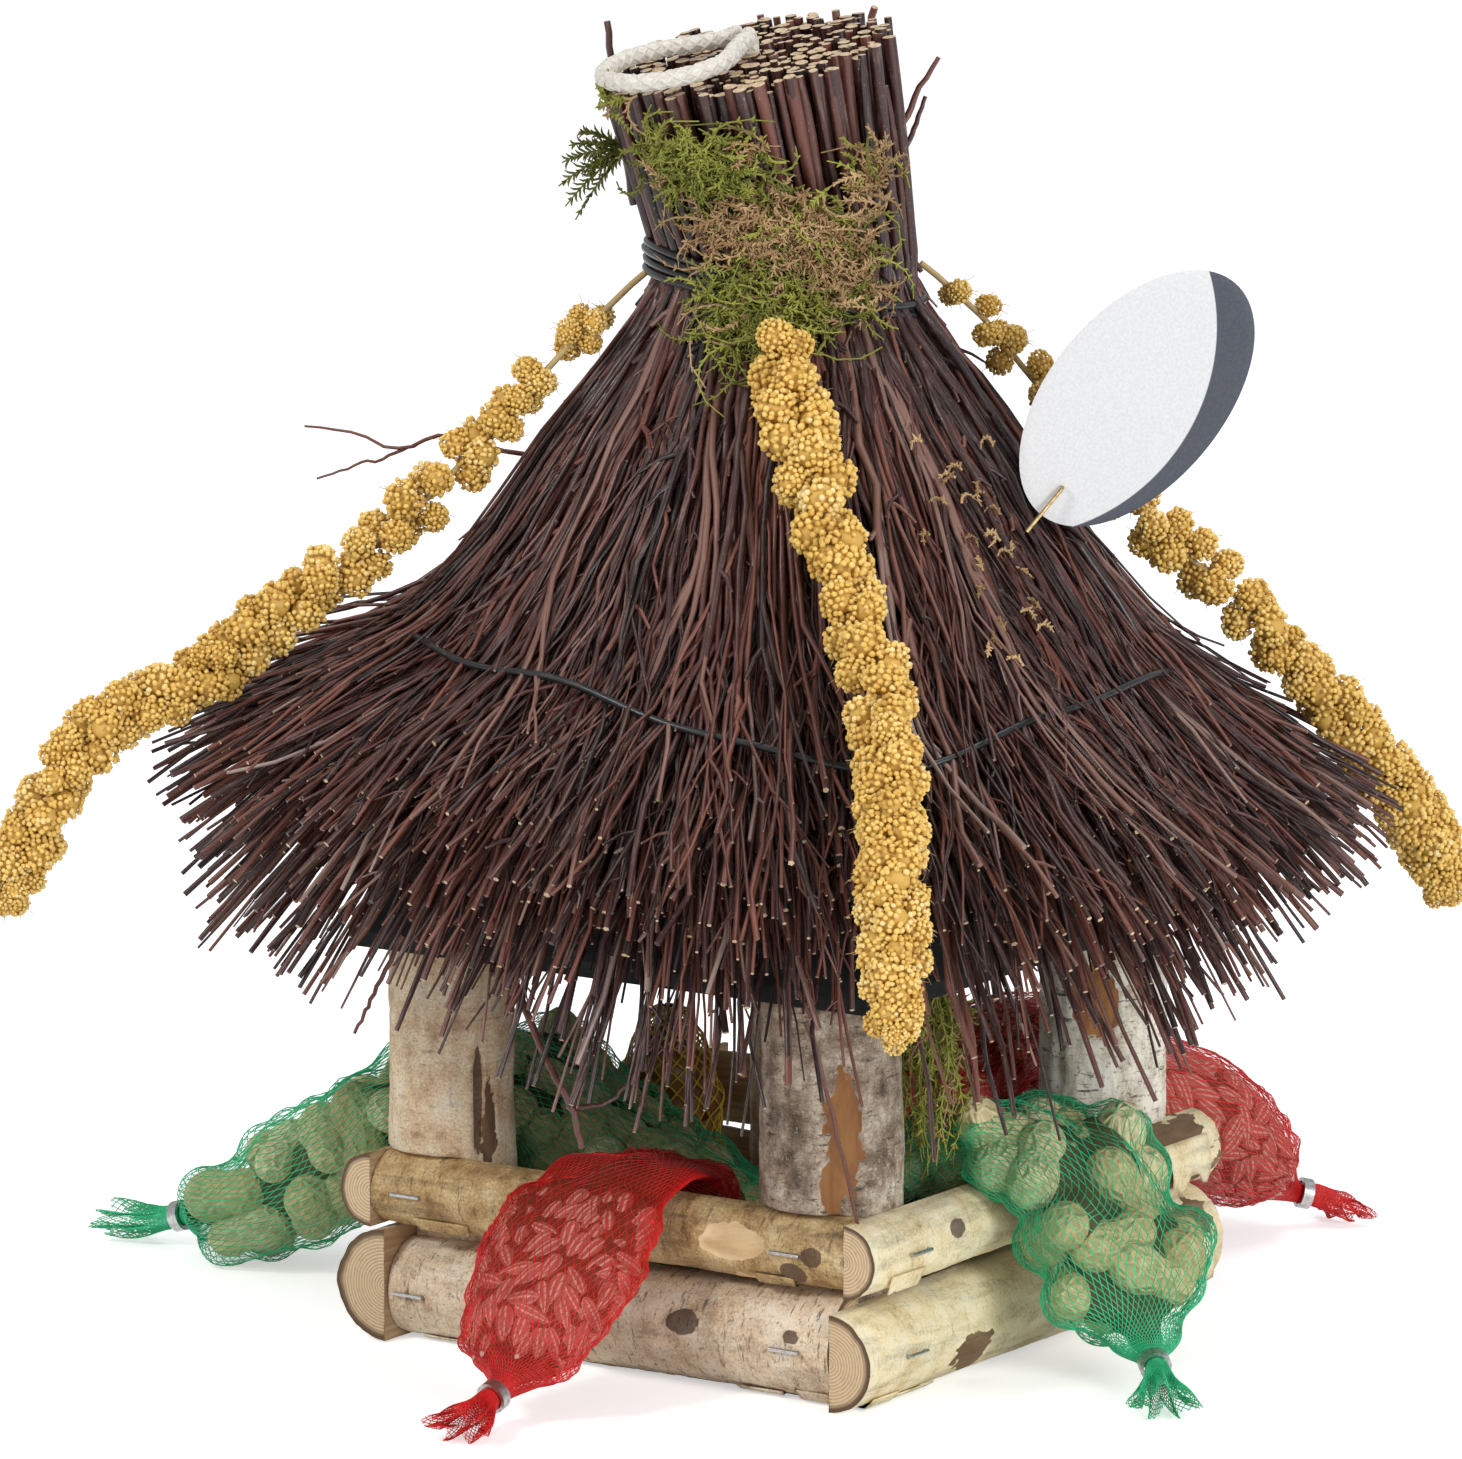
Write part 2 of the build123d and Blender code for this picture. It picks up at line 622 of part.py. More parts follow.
nodes = {}
floor_side = 2 * (INNER_HALF - FIT)
nodes["floor_board"] = Box(floor_side, floor_side, FLOOR_THICK, align=LOW)
post_axes = [post_axis(name) for name in POSTS]
nodes["floor_nails"] = Compound([nail(x, y, 2 * FIT, 1).solids()[0] for x, y in post_axes])
nodes["roof_board"] = roof_board()
nodes["roof_nails"] = Compound([nail(x, y, ROOF_TOP - FIT, -1).solids()[0] for x, y in post_axes])
nodes["frame_staples"] = Compound([s.solids()[0] for s in frame_staples()])
for name in POSTS:
    nodes["post_" + name] = post(name)
panels = hip_block(0) - hip_block(PANEL_THICK)
for wall in WALLS:
    nodes["base_log_" + wall] = base_log(wall)
    nodes["rail_" + wall] = rail(wall)
    nodes["roof_panel_" + wall] = panels & wedge(wall)
    nodes["twig_fan_" + wall] = twig_fan(wall)
    nodes["bag_outer_" + wall] = bag_outer(wall)
    nodes["bag_inner_" + wall] = bag_inner(wall)
    nodes["bag_clip_" + wall] = bag_clip(wall)
nodes["bag_yellow"] = yellow_bag()
nodes["neck_tie"] = neck_tie()
nodes["eave_tie"] = eave_tie()
for name in SPRAYS:
    nodes["millet_spray_" + name] = millet_spray(name)
nodes["hanging_loop"] = cord("hanging loop", loop_points(), CORD_RADIUS)
nodes["cord_legs"] = Compound([leg.solids()[0] for leg in cord_legs()])
nodes["cord_knot"] = cord_knot()
nodes["tag"] = tag()
nodes["tag_wire"] = tag_wire()
nodes["moss_collar"] = moss_collar()
nodes["moss_tuft"] = moss_tuft()

os.makedirs("parts", exist_ok=True)
for name, shape in nodes.items():
    export_step(shape, f"parts/{name}.step")
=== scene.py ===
import math
from itertools import product

import bpy
import numpy as np
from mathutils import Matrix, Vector


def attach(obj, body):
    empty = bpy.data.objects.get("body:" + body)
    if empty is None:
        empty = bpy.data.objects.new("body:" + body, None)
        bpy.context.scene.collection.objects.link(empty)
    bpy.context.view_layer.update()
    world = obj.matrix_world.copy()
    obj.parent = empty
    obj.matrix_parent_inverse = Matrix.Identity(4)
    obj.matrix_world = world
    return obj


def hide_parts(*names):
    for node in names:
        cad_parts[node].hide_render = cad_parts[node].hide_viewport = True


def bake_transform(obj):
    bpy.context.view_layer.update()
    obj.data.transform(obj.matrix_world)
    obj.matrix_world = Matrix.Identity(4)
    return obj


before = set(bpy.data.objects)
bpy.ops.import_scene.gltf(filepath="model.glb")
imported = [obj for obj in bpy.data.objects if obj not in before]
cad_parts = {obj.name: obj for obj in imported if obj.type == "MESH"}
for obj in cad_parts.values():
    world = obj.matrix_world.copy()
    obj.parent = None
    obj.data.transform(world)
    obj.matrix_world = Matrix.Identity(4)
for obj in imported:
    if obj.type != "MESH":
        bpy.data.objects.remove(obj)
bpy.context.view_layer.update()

# Sizes below are in millimetres unless a name says otherwise. Front is -Y, right is +X.
MM = 0.001
WALLS = {"front": 0.0, "right": 90.0, "back": 180.0, "left": 270.0}
INNER, RAIL_INNER, OUTER = 79.0, 84.0, 95.0
RAIL_Z, RAIL_RADIUS, RAIL_TOP = 34.2, 11.0, 56.2
FLOOR_TOP, POST_TOP = 6.0, 118.0
NECK_Z, NECK_TOP = 300.0, 318.0
CROWN_TOP = np.array([-5.6, -12.7, 383.0])
CROWN_RISE = 65.0  # from the neck's top
CROWN_SLOPE = CROWN_TOP[:2] / CROWN_RISE
NEAR_CORNER, PICTURE_LEFT, TO_VIEWER = -47.0, -146.0, -56.0  # azimuths, from +X towards +Y
PICTURE_RIGHT = np.array([0.8294, 0.5586, 0])
PICTURE_AWAY = np.array([-0.5586, 0.8294, 0])
GOLDEN_DEGREES, GOLDEN_RADIANS = 137.508, 2.39996  # one angle, for even spirals
rng = np.random.default_rng(7)


# Numbers and noise

def unit(v):
    v = np.asarray(v, float)
    return v / np.maximum(np.linalg.norm(v, axis=-1, keepdims=True), 1e-9)


def turn(points, degrees):
    """Points turned about the vertical axis."""
    a = math.radians(degrees)
    p = np.asarray(points, float)
    x, y = p[..., 0], p[..., 1]
    return np.stack([x * math.cos(a) - y * math.sin(a), x * math.sin(a) + y * math.cos(a), p[..., 2]], -1)


def turn_each(points, degrees):
    """The same with an angle for each point."""
    a = np.radians(degrees)
    x, y = points[..., 0], points[..., 1]
    return np.stack([x * np.cos(a) - y * np.sin(a), x * np.sin(a) + y * np.cos(a), points[..., 2]], -1)


def polar(degrees, radius, z):
    a = np.radians(degrees)
    return np.stack([radius * np.cos(a), radius * np.sin(a), z], -1)


def leaned(points, z):
    """Points above the neck moved over with the crown."""
    points[..., :2] += CROWN_TOP[:2] * np.clip((z - NECK_TOP) / CROWN_RISE, 0, 1)[..., None]
    return points


def lattice(x, y, z):
    h = np.sin(x * 127.1 + y * 311.7 + z * 74.7) * 43758.5453
    return h - np.floor(h)


def noise(p):
    """Smooth noise from -1 to 1 at points of any shape (..., 3)."""
    p = np.asarray(p, float)
    base = np.floor(p)
    f = p - base
    f = f * f * (3 - 2 * f)
    total = np.zeros(p.shape[:-1])
    for corner in product((0, 1), repeat=3):
        weight = np.ones(p.shape[:-1])
        for axis, c in enumerate(corner):
            weight = weight * (f[..., axis] if c else 1 - f[..., axis])
        total += weight * lattice(*[base[..., i] + corner[i] for i in range(3)])
    return 2 * total - 1


def smooth(values, samples):
    """Catmull-Rom curve through rows of values, at this many even steps."""
    v = np.asarray(values, float)
    v = np.concatenate([[2 * v[0] - v[1]], v, [2 * v[-1] - v[-2]]])
    t = np.linspace(0, len(v) - 3, samples)
    i = np.minimum(t.astype(int), len(v) - 4)
    f = (t - i)[:, None]
    a, b, c, d = v[i], v[i + 1], v[i + 2], v[i + 3]
    return 0.5 * (2 * b + (c - a) * f + (2 * a - 5 * b + 4 * c - d) * f ** 2 + (3 * b - a - 3 * c + d) * f ** 3)


def step(x, low, high):
    """Smooth rise from 0 at low to 1 at high."""
    t = np.clip((np.asarray(x, float) - low) / (high - low), 0, 1)
    return t * t * (3 - 2 * t)


def wrap(degrees):
    """Angles brought between -180 and 180."""
    return (degrees + 180) % 360 - 180


def stacked(*parts):
    """Arrays that broadcast, joined along a new last axis."""
    return np.stack(np.broadcast_arrays(*parts), -1)


def run_along(points):
    """Distance along a row of points, from its start."""
    return np.concatenate([[0], np.linalg.norm(np.diff(points, axis=0), axis=1).cumsum()])


# Meshes

class Shape:
    """Vertices, faces and point attributes of one piece, gathered in millimetres."""

    def __init__(self):
        self.points, self.faces, self.slots, self.values, self.count = [], [], [], [], 0

    def add(self, points, faces, slot=0, tone=0.0, pale=0.0, loc=None):
        points = np.asarray(points, float).reshape(-1, 3)
        n = len(points)
        column = [np.broadcast_to(np.asarray(v, float), (n,)) for v in (tone, pale)]
        loc = points if loc is None else np.asarray(loc, float).reshape(-1, 3)
        self.points.append(points)
        self.values.append(np.column_stack(column + [loc]))
        for f in faces if isinstance(faces, list) else [faces]:
            f = np.asarray(f, int)
            self.faces.append(f + self.count)
            self.slots.append(np.full(len(f), slot))
        self.count += n

    def build(self, name, looks, body):
        points, values = np.concatenate(self.points), np.concatenate(self.values)
        mesh = bpy.data.meshes.new(name)
        corners = np.concatenate([f.ravel() for f in self.faces])
        sizes = np.concatenate([np.full(len(f), f.shape[1]) for f in self.faces])
        mesh.vertices.add(len(points))
        mesh.vertices.foreach_set("co", (points * MM).ravel())
        mesh.loops.add(len(corners))
        mesh.loops.foreach_set("vertex_index", corners)
        mesh.polygons.add(len(sizes))
        mesh.polygons.foreach_set("loop_start", np.concatenate([[0], np.cumsum(sizes)[:-1]]))
        mesh.polygons.foreach_set("material_index", np.concatenate(self.slots))
        mesh.update(calc_edges=True)
        mesh.validate()
        mesh.polygons.foreach_set("use_smooth", np.full(len(mesh.polygons), True))
        for column, attribute in enumerate(("tone", "pale")):
            mesh.attributes.new(attribute, "FLOAT", "POINT").data.foreach_set("value", values[:, column])
        mesh.attributes.new("loc", "FLOAT_VECTOR", "POINT").data.foreach_set("vector", values[:, 2:].ravel())
        for look in looks:
            mesh.materials.append(look)
        obj = bpy.data.objects.new(name, mesh)
        bpy.context.scene.collection.objects.link(obj)
        if body:
            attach(obj, body)
        return obj


def dress(shape, name, looks, body, slot, *nodes):
    """Builds a piece that rides on a body and is shown for these nodes."""
    obj = shape.build(name, [LOOKS[look] for look in looks], body)
    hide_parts(*nodes)
    return obj


def grid_faces(rows, columns, closed):
    """Quads of a grid of points; closed joins the last column to the first."""
    r, c = np.meshgrid(np.arange(rows - 1), np.arange(columns if closed else columns - 1), indexing="ij")
    r, c = r.ravel(), c.ravel()
    d = (c + 1) % columns
    return np.stack([r * columns + c, r * columns + d, (r + 1) * columns + d, (r + 1) * columns + c], -1)


def tubes(shape, routes, radii, sides=6, slot=0, tone=0.0, caps=(0.0, 1.0)):
    """Many tubes with the same number of points; caps give how pale each end is, None leaves it open."""
    routes = np.asarray(routes, float)
    if routes.ndim == 2:
        routes = routes[None]
    k, n = routes.shape[:2]
    radii = np.broadcast_to(np.asarray(radii, float), (k, n))
    tone = np.broadcast_to(np.asarray(tone, float), (k,))
    ahead = unit(np.gradient(routes, axis=1))
    side = unit(np.cross(ahead[:, 0], unit([0.31, 0.52, 0.79])))
    angles = np.arange(sides) * 2 * math.pi / sides
    wave, lift = np.cos(angles)[None, :, None], np.sin(angles)[None, :, None]
    rings = np.empty((k, n, sides, 3))
    for i in range(n):
        side = unit(side - (side * ahead[:, i]).sum(-1, keepdims=True) * ahead[:, i])
        other = np.cross(ahead[:, i], side)
        spokes = wave * side[:, None] + lift * other[:, None]
        rings[:, i] = routes[:, i, None] + radii[:, i, None, None] * spokes
    one = grid_faces(n, sides, True)
    faces = (one[None] + (np.arange(k) * n * sides)[:, None, None]).reshape(-1, 4)
    pieces = np.linalg.norm(np.diff(routes, axis=1), axis=-1)
    length = np.concatenate([np.zeros((k, 1)), pieces.cumsum(1)], 1)
    loc = np.empty((k, n, sides, 3))
    loc[..., 0] = np.cos(angles) * 2 + tone[:, None, None] * 91
    loc[..., 1] = np.sin(angles) * 2 + tone[:, None, None] * 37
    loc[..., 2] = length[:, :, None]
    shape.add(rings, faces, slot, np.repeat(tone, n * sides), 0.0, loc)
    for end, pale in zip((0, n - 1), caps):
        if pale is None:
            continue
        order = np.arange(sides)[::-1] if end == 0 else np.arange(sides)
        cap = order[None] + (np.arange(k) * sides)[:, None]
        shape.add(rings[:, end], cap, slot, np.repeat(tone, sides), pale, loc[:, end])


def placed(shape, points, faces, centres, axes, sizes, slot=0, tone=0.0):
    """Copies of one small mesh; axes are rows of three directions per copy."""
    centres, axes = np.asarray(centres, float), np.asarray(axes, float)
    k, n = len(centres), len(points)
    sizes = np.broadcast_to(np.asarray(sizes, float).reshape(-1, 1, 1), (k, 1, 1))
    all_points = centres[:, None] + sizes * np.einsum("nj,kji->kni", points, axes)
    all_faces = (faces[None] + (np.arange(k) * n)[:, None, None]).reshape(-1, faces.shape[1])
    tone = np.broadcast_to(np.asarray(tone, float), (k,))
    shape.add(all_points, all_faces, slot, np.repeat(tone, n), 0.0, np.broadcast_to(points, (k, n, 3)))


def random_axes(k):
    """Random frames, each three directions."""
    z = unit(rng.normal(size=(k, 3)))
    x = unit(np.cross(z, rng.normal(size=(k, 3))))
    return np.stack([x, np.cross(z, x), z], 1)


# Materials

class Look:
    """Procedural material built node by node."""

    def __init__(self, name, roughness=0.6, specular=0.4, **extra):
        self.material = bpy.data.materials.new(name)
        self.material.use_nodes = True
        self.tree = self.material.node_tree
        self.tree.nodes.clear()
        self.shader = self.tree.nodes.new("ShaderNodeBsdfPrincipled")
        out = self.tree.nodes.new("ShaderNodeOutputMaterial")
        self.tree.links.new(self.shader.outputs[0], out.inputs["Surface"])
        self.shader.inputs["Roughness"].default_value = roughness
        self.shader.inputs["Specular IOR Level"].default_value = specular
        for key, value in extra.items():
            self.shader.inputs[key.replace("_", " ").title()].default_value = value

    def put(self, socket, value):
        if isinstance(value, bpy.types.NodeSocket):
            self.tree.links.new(value, socket)
        elif isinstance(value, (tuple, list)) and len(value) == 3 and socket.type == "RGBA":
            socket.default_value = (*value, 1.0)
        else:
            socket.default_value = value

    def attribute(self, name, output="Fac"):
        node = self.tree.nodes.new("ShaderNodeAttribute")
        node.attribute_name = name
        return node.outputs[output]

    def place(self, source="loc", scale=(1, 1, 1)):
        """Coordinates stretched by scale, from the loc attribute or from the object."""
        node = self.tree.nodes.new("ShaderNodeMapping")
        if source == "loc":
            self.put(node.inputs["Vector"], self.attribute("loc", "Vector"))
        else:
            self.put(node.inputs["Vector"], self.tree.nodes.new("ShaderNodeTexCoord").outputs["Object"])
            scale = [1000 * s for s in scale]
        node.inputs["Scale"].default_value = scale
        return node.outputs["Vector"]

    def noise(self, vector, scale=1.0, detail=4.0, rough=0.55, distortion=0.0):
        node = self.tree.nodes.new("ShaderNodeTexNoise")
        self.put(node.inputs["Vector"], vector)
        values = {"Scale": scale, "Detail": detail, "Roughness": rough, "Distortion": distortion}
        for key, value in values.items():
            node.inputs[key].default_value = value
        return node.outputs["Fac"]

    def cell_edges(self, vector):
        node = self.tree.nodes.new("ShaderNodeTexVoronoi")
        node.feature = "DISTANCE_TO_EDGE"
        self.put(node.inputs["Vector"], vector)
        node.inputs["Scale"].default_value = 1.0
        return node.outputs["Distance"]

    def rings(self, vector, scale, distortion):
        """Year rings round the third axis."""
        node = self.tree.nodes.new("ShaderNodeTexWave")
        node.wave_type, node.rings_direction = "RINGS", "Z"
        self.put(node.inputs["Vector"], vector)
        for key, value in {"Scale": scale, "Distortion": distortion, "Detail": 3.0}.items():
            node.inputs[key].default_value = value
        return node.outputs["Fac"]

    def ramp(self, value, *stops):
        """stops are (position, (r, g, b)) from low to high."""
        node = self.tree.nodes.new("ShaderNodeValToRGB")
        self.put(node.inputs["Fac"], value)
        elements = node.color_ramp.elements
        while len(elements) < len(stops):
            elements.new(0.5)
        for element, (position, colour) in zip(elements, stops):
            element.position = position
            element.color = (*colour, 1.0)
        return node.outputs["Color"]

    def window(self, value, low, high):
        node = self.tree.nodes.new("ShaderNodeMapRange")
        node.interpolation_type = "SMOOTHSTEP"
        self.put(node.inputs["Value"], value)
        node.inputs["From Min"].default_value = low
        node.inputs["From Max"].default_value = high
        return node.outputs["Result"]

    def math(self, operation, a, b=0.0):
        node = self.tree.nodes.new("ShaderNodeMath")
        node.operation = operation
        self.put(node.inputs[0], a)
        self.put(node.inputs[1], b)
        return node.outputs[0]

    def times(self, a, b):
        return self.math("MULTIPLY", a, b)

    def plus(self, a, b):
        return self.math("ADD", a, b)

    def share(self, value, low, high, amount):
        """Smooth window of a value, up to an amount."""
        return self.times(self.window(value, low, high), amount)

    def mix(self, share, a, b, mode="MIX"):
        node = self.tree.nodes.new("ShaderNodeMix")
        node.data_type, node.blend_type = "RGBA", mode
        self.put(node.inputs["Factor"], share)
        self.put(node.inputs[6], a)
        self.put(node.inputs[7], b)
        return node.outputs[2]

    def done(self, colour, height=None, strength=0.4, depth=0.5, roughness=None):
        self.put(self.shader.inputs["Base Color"], colour)
        if roughness is not None:
            self.put(self.shader.inputs["Roughness"], roughness)
        if height is not None:
            node = self.tree.nodes.new("ShaderNodeBump")
            node.inputs["Strength"].default_value = strength
            node.inputs["Distance"].default_value = depth * MM
            self.put(node.inputs["Height"], height)
            self.put(self.shader.inputs["Normal"], node.outputs["Normal"])
        return self.material


def bark_look(name, colours, patch, lines, marks, fissures=0.35):
    """Mottled bark with dark lines and flecks, bare patches where pale is high and knots where tone is."""
    k = Look(name, 0.75, 0.25)
    where = k.place()
    mottle = k.noise(where, 0.09, 8, 0.62)
    colour = k.ramp(mottle, *zip((0.30, 0.43, 0.55, 0.70), colours))
    streak = k.noise(k.place(scale=(0.16, 0.035, 0.16)), 1.0, 8, 0.65, 0.6)
    colour = k.mix(k.share(streak, 0.42, 0.72, lines), colour, (0.035, 0.026, 0.02))
    flecks = k.noise(k.place(scale=(0.09, 0.55, 0.09)), 1.0, 6, 0.65)
    colour = k.mix(k.share(flecks, 0.575, 0.65, marks), colour, (0.055, 0.04, 0.03))
    fine = k.noise(where, 1.1, 4, 0.7)
    contrast = k.ramp(fine, (0.3, (0.22, 0.22, 0.22)), (0.7, (0.86, 0.86, 0.86)))
    colour = k.mix(0.65, colour, contrast, "OVERLAY")
    specks = k.noise(where, 0.42, 3, 0.75)
    colour = k.mix(k.share(specks, 0.57, 0.66, 0.75 * marks), colour, (0.06, 0.045, 0.035))
    colour = k.mix(k.share(specks, 0.42, 0.34, 0.55 * marks), colour, colours[3])
    ragged = k.times(k.math("SUBTRACT", mottle, 0.5), 0.9)
    bare = k.mix(k.window(streak, 0.35, 0.7), *patch)
    colour = k.mix(k.window(k.plus(k.attribute("pale"), ragged), 0.45, 0.55), colour, bare)
    knot = k.mix(fine, (0.035, 0.02, 0.014), (0.13, 0.07, 0.04))
    colour = k.mix(k.share(k.plus(k.attribute("tone"), ragged), 0.36, 0.56, 0.85), colour, knot)
    height = k.plus(k.times(streak, fissures), k.times(fine, 0.35))
    return k.done(colour, height, 0.55, 1.2)


def wood_look(name, light, dark):
    """Split or sawn wood with fibres along loc's second coordinate."""
    k = Look(name, 0.65, 0.3)
    fibre = k.noise(k.place(scale=(0.9, 0.02, 0.9)), 1.0, 6, 0.6, 0.4)
    broad = k.noise(k.place(), 0.05, 3)
    colour = k.mix(k.window(fibre, 0.3, 0.7), light, dark)
    colour = k.mix(k.times(broad, 0.45), colour, dark)
    return k.done(colour, fibre, 0.35, 0.5)


def end_look(name, light, dark, rim):
    """Cut end: rings round loc's origin, fine rays and a dark rim where pale is 1."""
    k = Look(name, 0.7, 0.25)
    where = k.place()
    rings = k.rings(where, 0.32, 1.6)
    rough = k.noise(where, 0.5, 6, 0.65)
    colour = k.mix(k.window(rings, 0.2, 0.9), light, dark)
    colour = k.mix(k.share(rough, 0.52, 0.78, 0.45), colour, rim)
    colour = k.mix(k.window(k.attribute("pale"), 0.8, 0.95), colour, rim)
    return k.done(colour, k.plus(rings, k.times(rough, 2.0)), 0.3, 0.5)


def twig_look():
    k = Look("birch_twig", 0.35, 0.5)
    tone = k.attribute("tone")
    where = k.place(scale=(0.6, 0.6, 0.12))
    colour = k.ramp(tone, (0.0, (0.014, 0.006, 0.006)), (0.3, (0.052, 0.017, 0.014)),
                    (0.58, (0.125, 0.038, 0.026)), (0.80, (0.19, 0.066, 0.044)),
                    (0.93, (0.21, 0.115, 0.088)), (1.0, (0.36, 0.27, 0.23)))
    blotch = k.noise(where, 1.0, 6, 0.6)
    colour = k.mix(k.share(blotch, 0.52, 0.72, 0.45), colour, (0.29, 0.19, 0.155))
    specks = k.noise(k.place(scale=(1.6, 1.6, 0.9)), 1.0, 2, 0.5)
    colour = k.mix(k.share(specks, 0.66, 0.72, 0.7), colour, (0.33, 0.27, 0.22))
    cut = k.noise(k.place(), 0.8, 4)
    wood = k.mix(k.window(cut, 0.35, 0.7), (0.74, 0.57, 0.36), (0.46, 0.31, 0.17))
    colour = k.mix(k.attribute("pale"), colour, wood)
    return k.done(colour, blotch, 0.35, 0.25, k.plus(0.2, k.times(blotch, 0.35)))


def grain_look():
    k = Look("millet_grain", 0.5, 0.35)
    tone = k.attribute("tone")
    colour = k.ramp(tone, (0.0, (0.50, 0.28, 0.05)), (0.3, (0.80, 0.51, 0.12)),
                    (0.7, (0.90, 0.64, 0.20)), (1.0, (0.95, 0.77, 0.38)))
    fine = k.noise(k.place(scale=(2.2, 2.2, 2.2)), 1.0, 3)
    colour = k.mix(k.times(fine, 0.3), colour, (0.62, 0.38, 0.08))
    return k.done(colour, fine, 0.2, 0.15)


def hair_look(name, dark, light):
    k = Look(name, 0.6, 0.3)
    tone = k.attribute("tone")
    change = k.noise(k.place(scale=(0.3, 0.3, 0.3)), 1.0, 4)
    colour = k.mix(k.plus(k.times(tone, 0.7), k.times(change, 0.3)), dark, light)
    return k.done(colour, change, 0.2, 0.1)


def wire_look():
    k = Look("black_wire", 0.3, 0.5)
    wear = k.noise(k.place(scale=(0.4, 0.4, 0.25)), 1.0, 5)
    colour = k.mix(k.window(wear, 0.5, 0.8), (0.012, 0.012, 0.013), (0.05, 0.047, 0.045))
    return k.done(colour, wear, 0.15, 0.1, k.plus(0.2, k.times(wear, 0.25)))


def black_board_look():
    k = Look("black_board", 0.8, 0.2)
    where = k.place("object")
    grain = k.noise(where, 0.12, 8, 0.6)
    colour = k.mix(k.window(grain, 0.35, 0.7), (0.008, 0.008, 0.009), (0.028, 0.027, 0.027))
    return k.done(colour, grain, 0.3, 0.4)


def board_look():
    k = Look("board", 0.7, 0.25)
    fibre = k.noise(k.place("object", (0.03, 0.9, 0.9)), 1.0, 6, 0.6, 0.5)
    colour = k.mix(k.window(fibre, 0.3, 0.7), (0.50, 0.36, 0.21), (0.30, 0.19, 0.10))
    return k.done(colour, fibre, 0.3, 0.4)


def metal_look(name, colour, roughness):
    k = Look(name, roughness, 0.5, metallic=1.0)
    marks = k.noise(k.place("object"), 0.8, 6)
    tint = k.mix(k.window(marks, 0.35, 0.75), colour, tuple(0.55 * c for c in colour))
    return k.done(tint, marks, 0.1, 0.1, k.plus(roughness - 0.1, k.times(marks, 0.25)))


def rope_look():
    k = Look("rope_yarn", 0.85, 0.2, sheen_weight=0.3)
    fibre = k.noise(k.place(scale=(1.4, 1.4, 0.5)), 1.0, 5, 0.65)
    colour = k.mix(k.window(fibre, 0.3, 0.75), (0.80, 0.77, 0.70), (0.58, 0.52, 0.44))
    return k.done(colour, fibre, 0.5, 0.4)


def net_look(name, dark, light, cover=1.0):
    k = Look(name, 0.4, 0.4, alpha=cover)
    change = k.noise(k.place("object"), 0.15, 4)
    colour = k.mix(k.window(change, 0.3, 0.7), dark, light)
    return k.done(colour, k.noise(k.place("object"), 1.5, 2), 0.1, 0.1)


def peanut_look():
    k = Look("peanut_shell", 0.7, 0.25)
    tone = k.attribute("tone")
    where = k.place()
    web = k.cell_edges(k.place(scale=(0.28, 0.28, 0.16)))
    fine = k.noise(where, 0.5, 5, 0.6)
    colour = k.ramp(tone, (0.0, (0.66, 0.52, 0.25)), (0.5, (0.80, 0.66, 0.35)), (1.0, (0.90, 0.79, 0.48)))
    colour = k.mix(k.share(web, 0.05, 0.32, 0.5), colour, (0.44, 0.33, 0.13))
    colour = k.mix(k.share(fine, 0.5, 0.75, 0.5), colour, (0.40, 0.31, 0.12))
    height = k.math("SUBTRACT", k.times(fine, 0.4), k.window(web, 0.0, 0.3))
    return k.done(colour, height, 0.8, 1.0)


def seed_look():
    """Striped seed: pale bands round its long axis."""
    k = Look("sunflower_seed", 0.45, 0.4)
    split = k.tree.nodes.new("ShaderNodeSeparateXYZ")
    k.put(split.inputs[0], k.attribute("loc", "Vector"))
    angle = k.math("ARCTAN2", split.outputs["Y"], split.outputs["X"])
    wobble = k.times(k.noise(k.place(scale=(0.5, 0.5, 0.2)), 1.0, 3), 2.2)
    bands = k.math("SINE", k.plus(k.times(angle, 6.0), wobble))
    fine = k.noise(k.place(scale=(1.5, 1.5, 0.4)), 1.0, 4)
    colour = k.mix(k.window(bands, 0.0, 0.9), (0.44, 0.175, 0.125), (0.84, 0.54, 0.43))
    colour = k.mix(k.times(fine, 0.3), colour, (0.36, 0.15, 0.11))
    return k.done(colour, k.plus(fine, bands), 0.15, 0.2)


def nut_look():
    k = Look("hazelnut", 0.4, 0.45)
    streak = k.noise(k.place(scale=(0.7, 0.7, 0.1)), 1.0, 4)
    colour = k.mix(k.attribute("tone"), (0.20, 0.085, 0.025), (0.38, 0.19, 0.065))
    colour = k.mix(k.times(streak, 0.5), colour, (0.12, 0.05, 0.016))
    return k.done(colour, streak, 0.2, 0.2)


def painted_shade_fill_look():
    # Dark shell under the bag contents: painted shade that stands for the shadowed depth between them.
    k = Look("fill_painted_shade", 0.8, 0.2)
    shade = k.noise(k.place("object"), 0.3, 5)
    return k.done(k.mix(shade, (0.05, 0.03, 0.015), (0.16, 0.09, 0.04)), shade, 0.4, 0.5)


